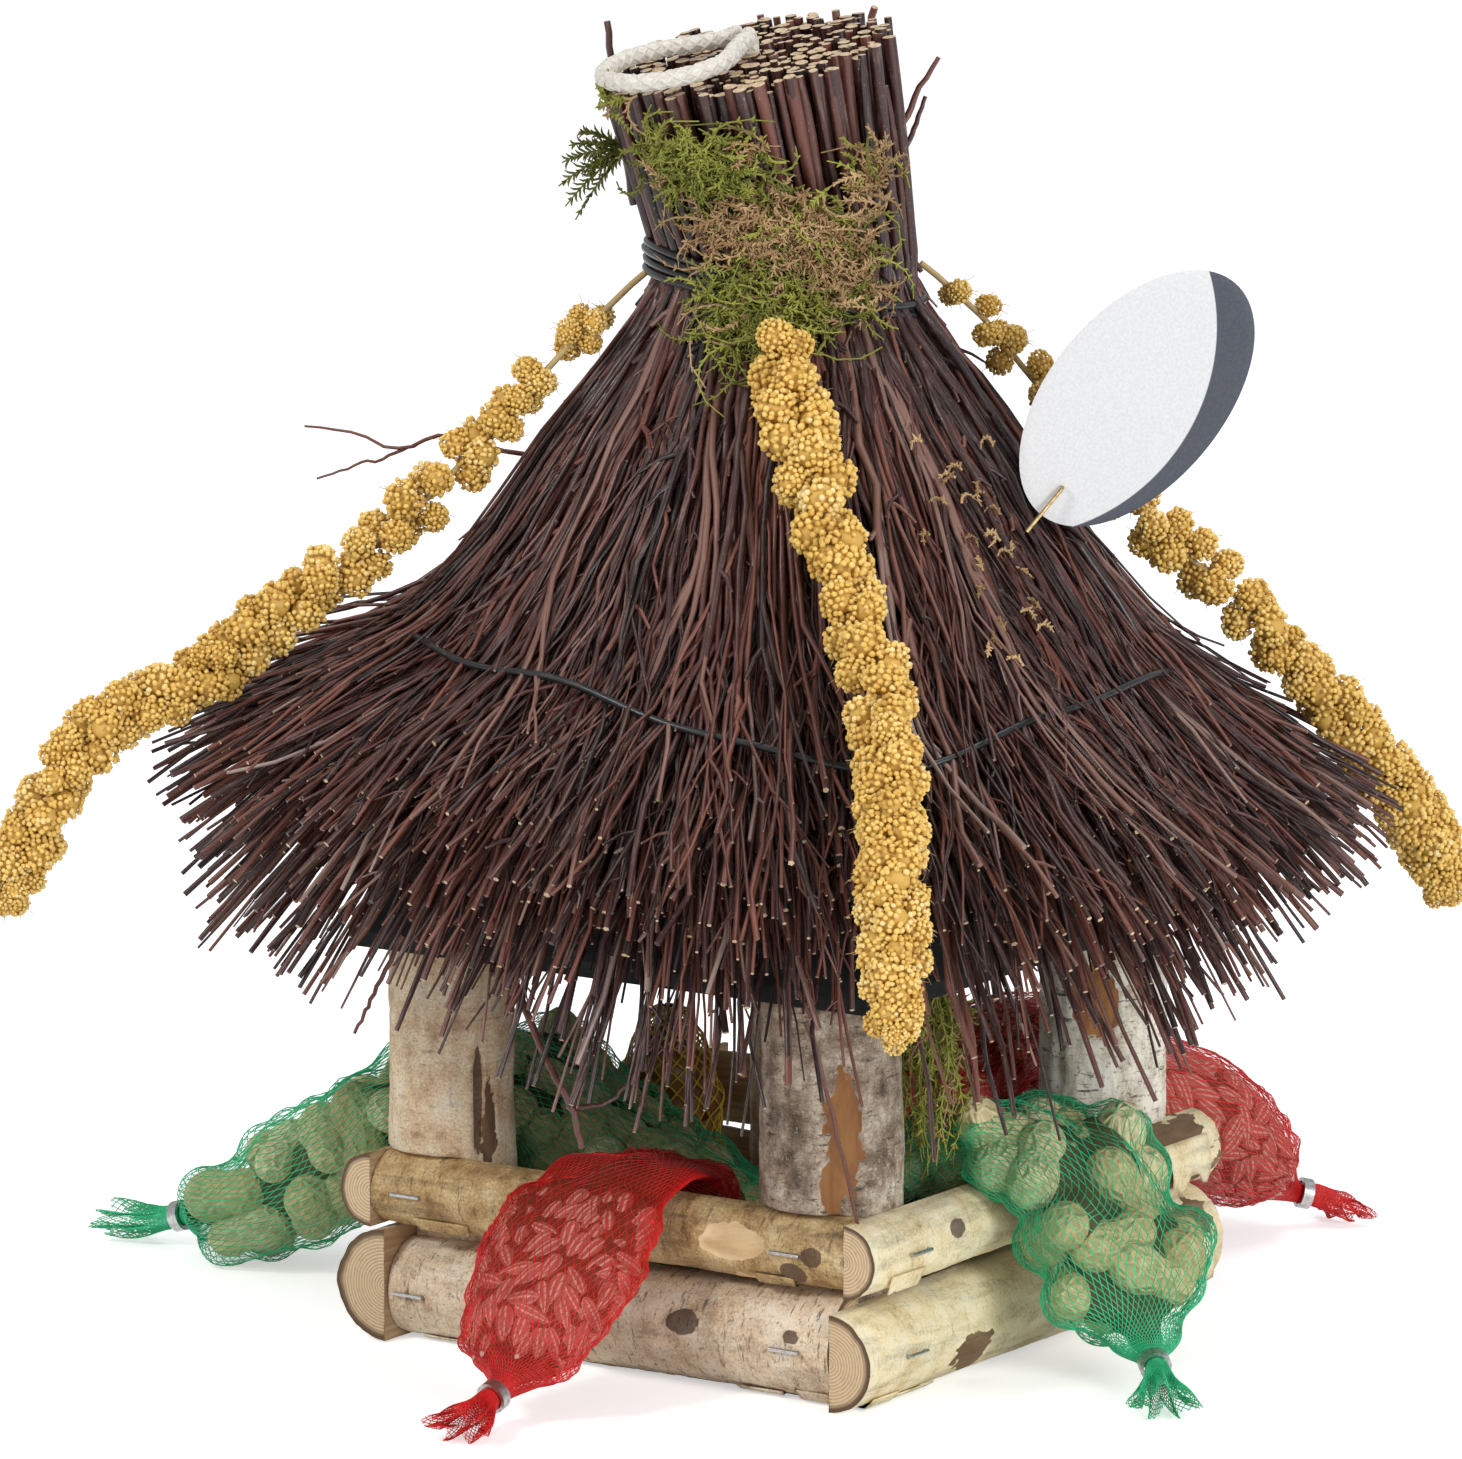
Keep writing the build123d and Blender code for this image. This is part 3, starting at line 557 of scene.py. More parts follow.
def card_look():
    """White card, its right side a plain slate area with a round inner edge."""
    k = Look("card", 0.5, 0.3)
    split = k.tree.nodes.new("ShaderNodeSeparateXYZ")
    k.put(split.inputs[0], k.attribute("loc", "Vector"))
    dx = k.plus(split.outputs["X"], 8.65)
    dy = k.math("SUBTRACT", split.outputs["Y"], 41.1)
    far = k.math("SQRT", k.plus(k.times(dx, dx), k.times(dy, dy)))
    slate = k.times(k.window(far, 60.0, 60.4), k.math("GREATER_THAN", split.outputs["Z"], 0.0))
    paper = k.noise(k.place(), 1.2, 5)
    white = k.mix(k.window(paper, 0.3, 0.7), (0.72, 0.72, 0.72), (0.64, 0.64, 0.65))
    dark = k.mix(k.window(paper, 0.3, 0.7), (0.060, 0.066, 0.085), (0.078, 0.085, 0.105))
    return k.done(k.mix(slate, white, dark), paper, 0.05, 0.1)


BARKS = {  # four colours, two of the bare patches, then lines, flecks and fissures
    "bark_pale": (
        ((0.44, 0.29, 0.17), (0.70, 0.53, 0.36), (0.82, 0.67, 0.48), (0.88, 0.79, 0.64)),
        ((0.16, 0.09, 0.045), (0.30, 0.19, 0.105)), 0.3, 0.75),
    "bark_golden": (
        ((0.24, 0.125, 0.045), (0.46, 0.295, 0.13), (0.58, 0.41, 0.20), (0.70, 0.54, 0.31)),
        ((0.84, 0.64, 0.37), (0.70, 0.47, 0.23)), 0.6, 0.6),
    "bark_peeled": (
        ((0.66, 0.49, 0.25), (0.86, 0.71, 0.42), (0.92, 0.80, 0.52), (0.94, 0.87, 0.64)),
        ((0.16, 0.095, 0.05), (0.30, 0.20, 0.12)), 0.4, 0.2),
    "bark_grey": (
        ((0.07, 0.045, 0.032), (0.25, 0.18, 0.125), (0.46, 0.365, 0.275), (0.70, 0.62, 0.51)),
        ((0.33, 0.15, 0.055), (0.20, 0.085, 0.035)), 0.5, 0.85, 0.8),
    # Lighter bark for the right post: its paleness is painted light that makes up for the roof's shade over that
    # post.
    "bark_white_painted_light": (
        ((0.34, 0.26, 0.18), (0.68, 0.60, 0.47), (0.86, 0.79, 0.66), (0.93, 0.89, 0.79)),
        ((0.42, 0.19, 0.07), (0.26, 0.11, 0.045)), 0.35, 0.85, 0.9),
    "bark_tan": (
        ((0.34, 0.20, 0.12), (0.58, 0.41, 0.26), (0.69, 0.55, 0.37), (0.74, 0.65, 0.52)),
        ((0.10, 0.06, 0.035), (0.22, 0.13, 0.07)), 0.3, 0.35),
}
LOOKS = {name: bark_look(name, *row) for name, row in BARKS.items()}
LOOKS.update({
    "split_wood": wood_look("split_wood", (0.62, 0.46, 0.28), (0.36, 0.23, 0.12)),
    "cut_end": end_look("cut_end", (0.72, 0.56, 0.36), (0.54, 0.37, 0.21), (0.13, 0.08, 0.045)),
    "twig": twig_look(),
    "grain": grain_look(),
    "straw": hair_look("millet_straw", (0.36, 0.22, 0.07), (0.72, 0.56, 0.30)),
    "moss": hair_look("moss_green", (0.085, 0.095, 0.014), (0.42, 0.42, 0.08)),
    "moss_brown": hair_look("moss_brown", (0.19, 0.10, 0.035), (0.66, 0.45, 0.23)),
    "black_wire": wire_look(),
    "black_board": black_board_look(),
    "board": board_look(),
    "steel": metal_look("steel", (0.56, 0.56, 0.55), 0.35),
    "brass": metal_look("brass", (0.52, 0.38, 0.18), 0.4),
    "rope": rope_look(),
    "net_green": net_look("net_green", (0.016, 0.46, 0.18), (0.05, 0.64, 0.31)),
    "film_green": net_look("film_green", (0.03, 0.46, 0.19), (0.08, 0.58, 0.28), 0.07),
    "net_red": net_look("net_red", (0.60, 0.014, 0.012), (0.82, 0.026, 0.022)),
    "film_red": net_look("film_red", (0.66, 0.016, 0.014), (0.88, 0.030, 0.025), 0.2),
    "net_yellow": net_look("net_yellow", (0.50, 0.31, 0.02), (0.70, 0.47, 0.05)),
    "peanut": peanut_look(),
    "seed": seed_look(),
    "nut": nut_look(),
    "fill_painted_shade": painted_shade_fill_look(),
    "card": card_look(),
})


# Camera, floor and light

def camera():
    around, above, away = math.radians(33.957), math.radians(10.606), 3.5
    data = bpy.data.cameras.new("camera")
    data.sensor_width, data.lens, data.sensor_fit = 36.0, 290.31, "HORIZONTAL"
    data.clip_start, data.clip_end = 0.1, 50.0
    obj = bpy.data.objects.new("camera", data)
    target = Vector((-0.01309, -0.00882, 0.17823))
    toward = Vector((math.sin(around) * math.cos(above), -math.cos(around) * math.cos(above), math.sin(above)))
    obj.location = target + toward * away
    obj.rotation_euler = (-toward).to_track_quat("-Z", "Y").to_euler()
    bpy.context.scene.collection.objects.link(obj)
    bpy.context.scene.camera = obj


def lamp(name, place, size, power, colour=(1, 1, 1)):
    data = bpy.data.lights.new(name, "AREA")
    data.shape, data.size, data.energy, data.color = "DISK", size, power, colour
    obj = bpy.data.objects.new(name, data)
    obj.location = place
    obj.rotation_euler = (Vector((0, 0, 0.15)) - Vector(place)).to_track_quat("-Z", "Y").to_euler()
    bpy.context.scene.collection.objects.link(obj)


def studio():
    """Pale floor that keeps its shadow, white surroundings, three soft lamps."""
    floor = Shape()
    edge = np.linspace(-6000, 6000, 9)
    x, y = np.meshgrid(edge, edge)
    floor.add(np.stack([x, y, np.full_like(x, -0.4)], -1), grid_faces(9, 9, False))
    k = Look("studio_floor", 0.9, 0.0)
    tint = k.noise(k.place("object"), 0.002, 3)
    look = k.done(k.mix(tint, (0.90, 0.90, 0.90), (0.93, 0.93, 0.93)))
    path = k.tree.nodes.new("ShaderNodeLightPath")
    mirrored = k.math("MAXIMUM", path.outputs["Is Glossy Ray"], path.outputs["Is Transmission Ray"])
    seen = k.math("MAXIMUM", path.outputs["Is Camera Ray"], mirrored)
    k.put(k.shader.inputs["Emission Color"], (1.0, 1.0, 1.0))
    k.put(k.shader.inputs["Emission Strength"], k.times(seen, 0.5))
    floor.build("studio_floor", [look], None)
    world = bpy.data.worlds.new("studio")
    bpy.context.scene.world = world
    world.use_nodes = True
    tree = world.node_tree
    path = tree.nodes.new("ShaderNodeLightPath")
    back = tree.nodes["Background"]
    seen = tree.nodes.new("ShaderNodeMix")
    seen.data_type = "RGBA"
    tree.links.new(path.outputs["Is Camera Ray"], seen.inputs["Factor"])
    seen.inputs[6].default_value = (0.52, 0.53, 0.55, 1.0)
    seen.inputs[7].default_value = (1.0, 1.0, 1.0, 1.0)
    tree.links.new(seen.outputs[2], back.inputs["Color"])
    back.inputs["Strength"].default_value = 1.0
    lamp("key_light", (-0.7, -1.9, 1.7), 0.5, 23, (1.0, 0.985, 0.96))
    lamp("fill_light", (2.3, -0.7, 0.9), 0.8, 29, (0.97, 0.985, 1.0))
    lamp("top_light", (0.3, 0.6, 2.4), 1.2, 12)


camera()
bpy.context.scene.view_settings.view_transform = "Standard"
studio()


# Hanging cord

LOOP_ROUTE = [  # metres
    (-0.00295, -0.01434, 0.38618), (-0.00084, -0.02487, 0.3843), (0.00559, -0.03821, 0.38225),
    (0.00054, -0.05275, 0.37898), (-0.01353, -0.05934, 0.37648), (-0.02838, -0.05413, 0.37622),
    (-0.03531, -0.04015, 0.37835), (-0.03025, -0.02561, 0.38163), (-0.01697, -0.01921, 0.38402),
    (-0.00879, -0.01228, 0.38608),
]
CORD_RADIUS, LEG_SPACING = 2.75, 3.1
STRANDS, BRAID_PITCH = 8, 17.0


def spline_points(route):
    """Points along a NURBS curve with the route's points as its control points, in metres."""
    data = bpy.data.curves.new("guide", "CURVE")
    data.dimensions, data.resolution_u = "3D", 24
    spline = data.splines.new("NURBS")
    spline.points.add(len(route) - 1)
    for point, place in zip(spline.points, route):
        point.co = (*place, 1.0)
    spline.order_u = 3
    spline.use_endpoint_u = True
    guide = bpy.data.objects.new("guide", data)
    bpy.context.scene.collection.objects.link(guide)
    bpy.context.view_layer.update()
    mesh = bpy.data.meshes.new_from_object(guide)
    points = np.array([v.co[:] for v in mesh.vertices])
    bpy.data.objects.remove(guide)
    bpy.data.curves.remove(data)
    bpy.data.meshes.remove(mesh)
    return points


def frames_along(route):
    """Sideways directions along a route that turn as little as they can."""
    ahead = unit(np.gradient(route, axis=0))
    side = unit(np.cross(ahead[0], unit([0.3, 0.5, 0.81])))
    sides = []
    for a in ahead:
        side = unit(side - side.dot(a) * a)
        sides.append(side)
    sides = np.array(sides)
    return ahead, sides, np.cross(ahead, sides)


def rope(name, node, route, body, dome=0.0):
    """Braided cord: flat strands that cross round a route in millimetres. A dome rounds its far end."""
    length = run_along(route)
    even = np.linspace(0, length[-1], int(length[-1] / 0.5))
    route = np.column_stack([np.interp(even, length, route[:, i]) for i in range(3)])
    side, other = frames_along(route)[1:]
    size = np.sqrt(1 - np.clip(1 - (length[-1] - even) / dome, 0, 0.99) ** 2) if dome else 1.0
    shape = Shape()
    tubes(shape, route, 0.86 * CORD_RADIUS * size, 16, tone=0.1, caps=(0.0, 0.0))
    for strand in range(STRANDS):
        way = 1 if strand % 2 else -1
        angle = 2 * math.pi * (way * even / BRAID_PITCH + strand / STRANDS)
        weave = 0.76 + 0.05 * np.sin(8 * math.pi * even / BRAID_PITCH + math.pi * (strand // 2))
        out = np.cos(angle)[:, None] * side + np.sin(angle)[:, None] * other
        path = route + (weave * size * CORD_RADIUS)[:, None] * out
        tubes(shape, path, 0.24 * CORD_RADIUS, 6, tone=0.1 * strand, caps=(0.0, 0.0))
    return dress(shape, name, ["rope"], body, "cord", node)


def hanging_cord():
    points = spline_points(LOOP_ROUTE)
    loop = rope("rope_loop", "hanging_loop", points / MM, "loop")
    normal = unit([*CROWN_SLOPE, 1.0])
    across = unit(np.cross(normal, [-0.321, -0.924, -0.208]))
    level = unit([across[0], across[1], 0])
    for side, name in ((-1, "rope_leg_a"), (1, "rope_leg_b")):
        low = np.array([0, 0, POST_TOP - 1.0]) + LEG_SPACING * side * level
        bend = np.array([0, 0, NECK_Z]) + LEG_SPACING * side * level
        top = np.array(LOOP_ROUTE[0 if side > 0 else -1]) / MM + CORD_RADIUS * normal
        route = smooth([low, (low + bend) / 2, bend, top], 90)
        rope(name, "cord_legs", route, "feeder", dome=CORD_RADIUS)
    t = np.linspace(0, 2 * math.pi, 90)
    swing = 2.0 + np.cos(3 * t)
    knot = [2.1 * swing * np.cos(2 * t), 2.1 * swing * np.sin(2 * t), 112.0 + 2.6 * np.sin(3 * t)]
    rope("rope_knot", "cord_knot", np.column_stack(knot), "feeder")


# Logs, rails and posts. Marks are (kind, place along, place across, half length, half width).

def spots(u, v, marks, kind):
    """Mask of all marks of one kind over a bark surface, u across and v along, in millimetres."""
    u, v = np.broadcast_arrays(u, v)
    found = np.zeros(u.shape)
    coarse, fine = [u / 2.6, v / 5.0, 0 * u], [u / 1.0, v / 1.7, 0 * u + 5]
    ragged = 0.28 * noise(np.stack(coarse, -1)) + 0.18 * noise(np.stack(fine, -1))
    if kind != "patch":
        ragged = 0.4 * ragged
    for what, at_v, at_u, half_v, half_u in marks:
        if what == kind:
            d = np.hypot((u - at_u) / half_u, (v - at_v) / half_v) + ragged
            found = np.maximum(found, 1 - step(d, 0.75, 1.15))
    return found


def log_radius(v, lower):
    """Base logs are thicker at one end, rails even."""
    return 15.75 + 1.25 * v / OUTER if lower else RAIL_RADIUS + 0 * v


def bark_flake(shape, mark, lower, flat, base, wall, seed):
    """Loose flake of bark, a thin closed sheet that curls away from the log."""
    at_v, at_u, half_v, half_u = mark
    around, across = np.linspace(0, 1, 8)[None, :], np.linspace(-1, 1, 9)[:, None]
    ragged = noise(stacked(2.3 * across + at_v, 1.4 * around, 0 * across + seed))
    radius = log_radius(at_v, lower)
    bend = (at_u - 2 * half_u * around * (1 + 0.3 * ragged)) / radius
    along = at_v + half_v * across * (1 - 0.2 * around) + 1.5 * ragged * around
    layers = []
    for off in (0.75, 0.3):
        out = radius + off + 2.4 * around ** 2 * (1 + 0.5 * ragged)
        height = np.maximum(base + radius + out * np.sin(bend), base + 0.3)
        layers.append(stacked(along, -flat - out * np.cos(bend), height))
    ring = np.concatenate([layers[0], layers[1][:, ::-1]], 1)
    ends = [np.arange(16)[None, ::-1], np.arange(16)[None] + 8 * 16]
    spot = stacked(radius * bend + 40 * seed, along, 0 * along)
    loc = np.concatenate([spot, spot[:, ::-1]], 1)
    shape.add(turn(ring, WALLS[wall]), [grid_faces(9, 16, True)] + ends, 0, 0.0, 0.0, loc)


def half_log(node, wall, lower, look, seed, marks):
    """Split log with its bark outward; marks take the arc length from the middle of the bark upward."""
    half = (INNER if lower else RAIL_INNER) - 0.2 if wall in ("front", "back") else OUTER
    flat, base = (INNER, 0.0) if lower else (RAIL_INNER, RAIL_Z)
    v = np.linspace(-half, half, 170)[:, None]
    angle = np.linspace(-math.pi / 2, math.pi / 2, 44)[None, :]
    radius = log_radius(v, lower)
    u = radius * angle
    knot, cut = spots(u, v, marks, "knot"), spots(u, v, marks, "cut")
    second = spots(u, v, marks, "patch")
    place = stacked(u / 9, v / 26 + seed, 0 * u + seed)
    rough = 0.55 * noise(place) + 0.3 * noise(3.1 * place) + 0.16 * noise(place * [9, 14, 1])
    edge = np.cos(angle) ** 0.35
    bulge = (rough - 0.2) * edge + 0.9 * knot * edge - 1.3 * cut * edge + 0.5 * second * edge
    r = radius + bulge
    bark = stacked(v, -flat - r * np.cos(angle), base + radius + r * np.sin(angle))
    bark[..., 2] = np.clip(bark[..., 2], base + 0.05, None)
    loc = stacked(u + 40 * seed, v, 0 * u)
    shape = Shape()
    rows, columns = bark.shape[:2]
    pale = np.maximum(second, cut).ravel()
    shape.add(turn(bark, WALLS[wall]), grid_faces(rows, columns, False), 0, knot.ravel(), pale, loc)
    for what, *mark in marks:
        if what == "flake":
            bark_flake(shape, mark, lower, flat, base, wall, seed)
    share = np.linspace(1, 0, 7)[None, :]
    saw = 0.25 * noise(stacked(v / 2.2, share * 3, 0 * v + seed))
    face = stacked(v, -flat + 0 * share, base + 2 * radius * share)
    face[..., 1] -= np.abs(saw)
    loc = np.stack([share * 30 + 0 * v, v + 0 * share, 0 * v * share], -1)
    shape.add(turn(face, WALLS[wall]), grid_faces(rows, 7, False), 1, loc=loc)
    for end, sign in ((0, -1), (rows - 1, 1)):
        outline = np.concatenate([bark[end], face[end][1:-1]])
        pith = np.array([outline[0, 0], -flat, base + radius[end, 0]])
        inward = np.linspace(0, 1, 9)[:, None, None]
        cap = outline[None] * (1 - inward) + pith * inward
        cap[..., 0] += sign * 0.25 * noise(cap / 3.0)
        rel = np.stack([cap[..., 1] - pith[1], cap[..., 2] - pith[2], 0 * cap[..., 0]], -1)
        on_bark = np.r_[np.ones(columns), np.zeros(5)][None]
        rim = np.broadcast_to((1 - inward[..., 0]) * on_bark, cap.shape[:2])
        shape.add(turn(cap, WALLS[wall]), grid_faces(9, len(outline), True), 2, 0.0, rim.ravel(), rel)
    dress(shape, node + "_wood", [look, "split_wood", "cut_end"], "feeder", "bark_log", node)


def post(name, centre, radius, look, seed, marks):
    """Round post; marks take the height and the arc length from the +X side."""
    z = np.linspace(FLOOR_TOP + 0.2, POST_TOP - 0.2, 140)[:, None]
    angle = np.linspace(-math.pi, math.pi, 120, endpoint=False)[None, :]
    u = radius * angle
    # Knot marks on a post sink in and take the near-black knot colour: the dents are real splits, and their
    # darkness is painted shade inside them.
    second, dark = spots(u, z, marks, "patch"), spots(u, z, marks, "knot")
    ring = stacked(np.cos(angle) * radius / 9, np.sin(angle) * radius / 9, z / 24 + seed)
    rough = 0.7 * noise(ring) + 0.4 * noise(2.7 * ring) + 0.25 * noise(ring * [7, 7, 5])
    r = radius - 0.3 + 0.9 * rough - 1.0 * second - 1.6 * dark
    points = stacked(centre[0] + r * np.cos(angle), centre[1] + r * np.sin(angle), z)
    limit = np.where(z < RAIL_Z, INNER - 0.3, np.where(z < RAIL_TOP + 0.3, RAIL_INNER - 0.3, 400.0))
    for axis in (0, 1):
        points[..., axis] = np.clip(points[..., axis], -limit, limit)
    shape = Shape()
    rows, columns = points.shape[:2]
    loc = stacked(u + 50 * seed, z, 0 * u)
    shape.add(points, grid_faces(rows, columns, True), 0, dark.ravel(), second.ravel(), loc)
    for end in (0, rows - 1):
        inward = np.linspace(0, 1, 5)[:, None, None]
        middle = np.array([*centre, z[end, 0]])
        cap = points[end][None] * (1 - inward) + middle * inward
        shape.add(cap, grid_faces(5, columns, True), 1, loc=cap - middle)
    node = "post_" + name
    dress(shape, node + "_wood", [look, "cut_end"], "feeder", "bark_post", node)


LOGS = [  # node, wall, whether it lies on the ground, bark, seed, marks
    ("base_log_front", "front", True, "bark_pale", 1.3, [
        ("knot", -28, 3, 4, 3), ("knot", 28, 4, 6, 4), ("patch", -20, -25, 70, 6),
        ("patch", 62, -24, 30, 5), ("flake", -62, -16, 9, 3.5), ("flake", 50, -17, 8, 3),
        ("flake", 70, -14, 6, 4), ("knot", 66, 4, 3, 2)]),
    ("rail_front", "front", False, "bark_golden", 2.6, [
        ("cut", 44, 1, 12, 6.5), ("knot", 66, -6, 5, 4), ("knot", 73, 0, 4, 3),
        ("patch", 50, -13, 8, 2.5), ("flake", 58, -8, 7, 3), ("flake", -60, -7, 10, 3)]),
    ("base_log_right", "right", True, "bark_peeled", 3.7, [
        ("patch", -40, -6, 9, 7), ("patch", 76, 8, 16, 9), ("knot", 8, 4, 4, 3),
        ("flake", -62, -15, 10, 4), ("flake", 52, -14, 10, 4), ("flake", 80, 4, 10, 6),
        ("flake", -80, -12, 7, 4)]),
    ("rail_right", "right", False, "bark_peeled", 4.1, [
        ("patch", 66, 0, 26, 20), ("knot", -50, 3, 4, 3), ("flake", 76, 6, 12, 6),
        ("flake", 58, -3, 8, 4), ("flake", -76, -5, 9, 3)]),
    ("base_log_left", "left", True, "bark_pale", 5.2, [
        ("knot", 30, 2, 5, 4), ("patch", 0, -24, 60, 6), ("flake", -45, -15, 10, 4),
        ("flake", 70, -12, 8, 4)]),
    ("rail_left", "left", False, "bark_golden", 6.9, [
        ("knot", -40, 2, 5, 4)]),
    ("base_log_back", "back", True, "bark_grey", 7.4, [
        ("knot", 20, 5, 5, 4), ("flake", 55, -14, 10, 4), ("flake", -70, -10, 8, 4)]),
    ("rail_back", "back", False, "bark_golden", 8.8, [
        ("cut", -30, 3, 8, 4)]),
]
POSTS = [  # name, centre, radius, bark, seed, marks
    ("near", (64, -71), 21.0, "bark_grey", 1.0, [
        ("patch", 78, -17, 20, 6), ("patch", 64, -20, 10, 4)]),
    ("left", (-71, -71), 19.0, "bark_tan", 2.0, [
        # The left post's thin knot mark is a split, and its dark colour is painted shade inside it.
        ("patch", 66, -6, 14, 3), ("knot", 74, -10, 18, 1.6)]),
    # The right post wears the lighter bark, painted light against the roof's shade over it.
    ("right", (69, 69), 19.5, "bark_white_painted_light", 3.0, [
        ("patch", 96, -22, 12, 7)]),
    ("back", (-40, 71), 17.0, "bark_tan", 4.0, [
        ("knot", 90, -30, 8, 4)]),
]


# Roof twigs

THATCH = [  # radius and height of the lowest, middle and highest twigs
    [(27, 334), (30, 306), (56, 256), (86.1, 205), (118, 158), (164, 90)],
    [(31, 334), (35, 306), (63, 261), (93.1, 215.5), (129, 177), (178, 131)],
    [(35, 334), (40, 307), (69, 266), (98, 226), (137, 193), (190, 165)],
]
THATCH_CURVES = [smooth(rows, 65) for rows in THATCH]
FAN_TWIGS, TWIG_STEPS = 780, 19


def thatch(level, share):
    """Radius and height on the thatch: level 0 to 1 upward, share 0 at the neck and 1 at the eave."""
    place = np.clip(share, 0, 1) * 64
    found = [[np.interp(place, np.arange(65), curve[:, i]) for i in (0, 1)] for curve in THATCH_CURVES]
    t = np.clip(level * 2, 0, 2)
    low, high = np.clip(1 - t, 0, 1), np.clip(t - 1, 0, 1)
    mid = 1 - low - high
    return [low * found[0][i] + mid * found[1][i] + high * found[2][i] for i in (0, 1)]


def sag(points, share=1.0):
    """The thatch lies a little higher on the left than on the right of the pictured side."""
    p = np.asarray(points, float).copy()
    sideways = p[..., 0] * PICTURE_RIGHT[0] + p[..., 1] * PICTURE_RIGHT[1]
    r = np.hypot(p[..., 0], p[..., 1])
    p[..., 2] -= 0.085 * sideways * step(r, 75, 150) * share
    return p


BASE_EAVE = 92  # eave height at which the lowest row of THATCH stays as it is


def eave_height(azimuth):
    """Height of the lowest tips: least at the near corner, more at the side corners, less at the back."""
    aside = wrap(azimuth - NEAR_CORNER)
    most, within = np.where(aside > 0, 46, 36), np.where(aside > 0, 76, 88)
    rise = most * np.minimum(np.abs(aside) / within, 1) ** 2
    return 88 + rise * (1 - 0.7 * step(np.abs(aside), 104, 146))


def walk(n, steps, size):
    """Uneven wander of n lines in steps, nothing at its start."""
    moves = rng.normal(size=(n, steps)) * size
    moves[:, 0] = 0
    path = moves.cumsum(1)
    return path - 0.6 * path[:, -1:] * np.linspace(0, 1, steps)


def spurs(shape, routes, radii, tone, per):
    """Short stubs and buds on the sides of twigs."""
    k, n = routes.shape[:2]
    rows = np.repeat(np.arange(k), per)
    at = rng.integers(2, n - 1, len(rows))
    base, ahead = routes[rows, at], unit(routes[rows, at] - routes[rows, at - 1])
    aside = unit(np.cross(ahead, [0, 0, 1.0])) * rng.choice([-1, 1], (len(rows), 1))
    away = unit(0.9 * ahead + rng.uniform(0.3, 1.1, (len(rows), 1)) * aside + [0, 0, 0.35])
    length = 2.5 + 9 * rng.random((len(rows), 1)) ** 3
    stub = np.stack([base, base + 0.5 * length * away, base + length * away + 0.3 * length * ahead], 1)
    thick = radii[rows, at][:, None] * np.array([0.85, 0.7, 0.45])
    tubes(shape, stub, thick, 5, tone=tone[rows], caps=(None, 0.35))


def tie_share(azimuth):
    """Where the eave wire crosses the twigs at an azimuth; it dips towards the near corner."""
    return 0.72 + 0.065 * np.exp(-(wrap(azimuth - NEAR_CORNER) / 24) ** 2)


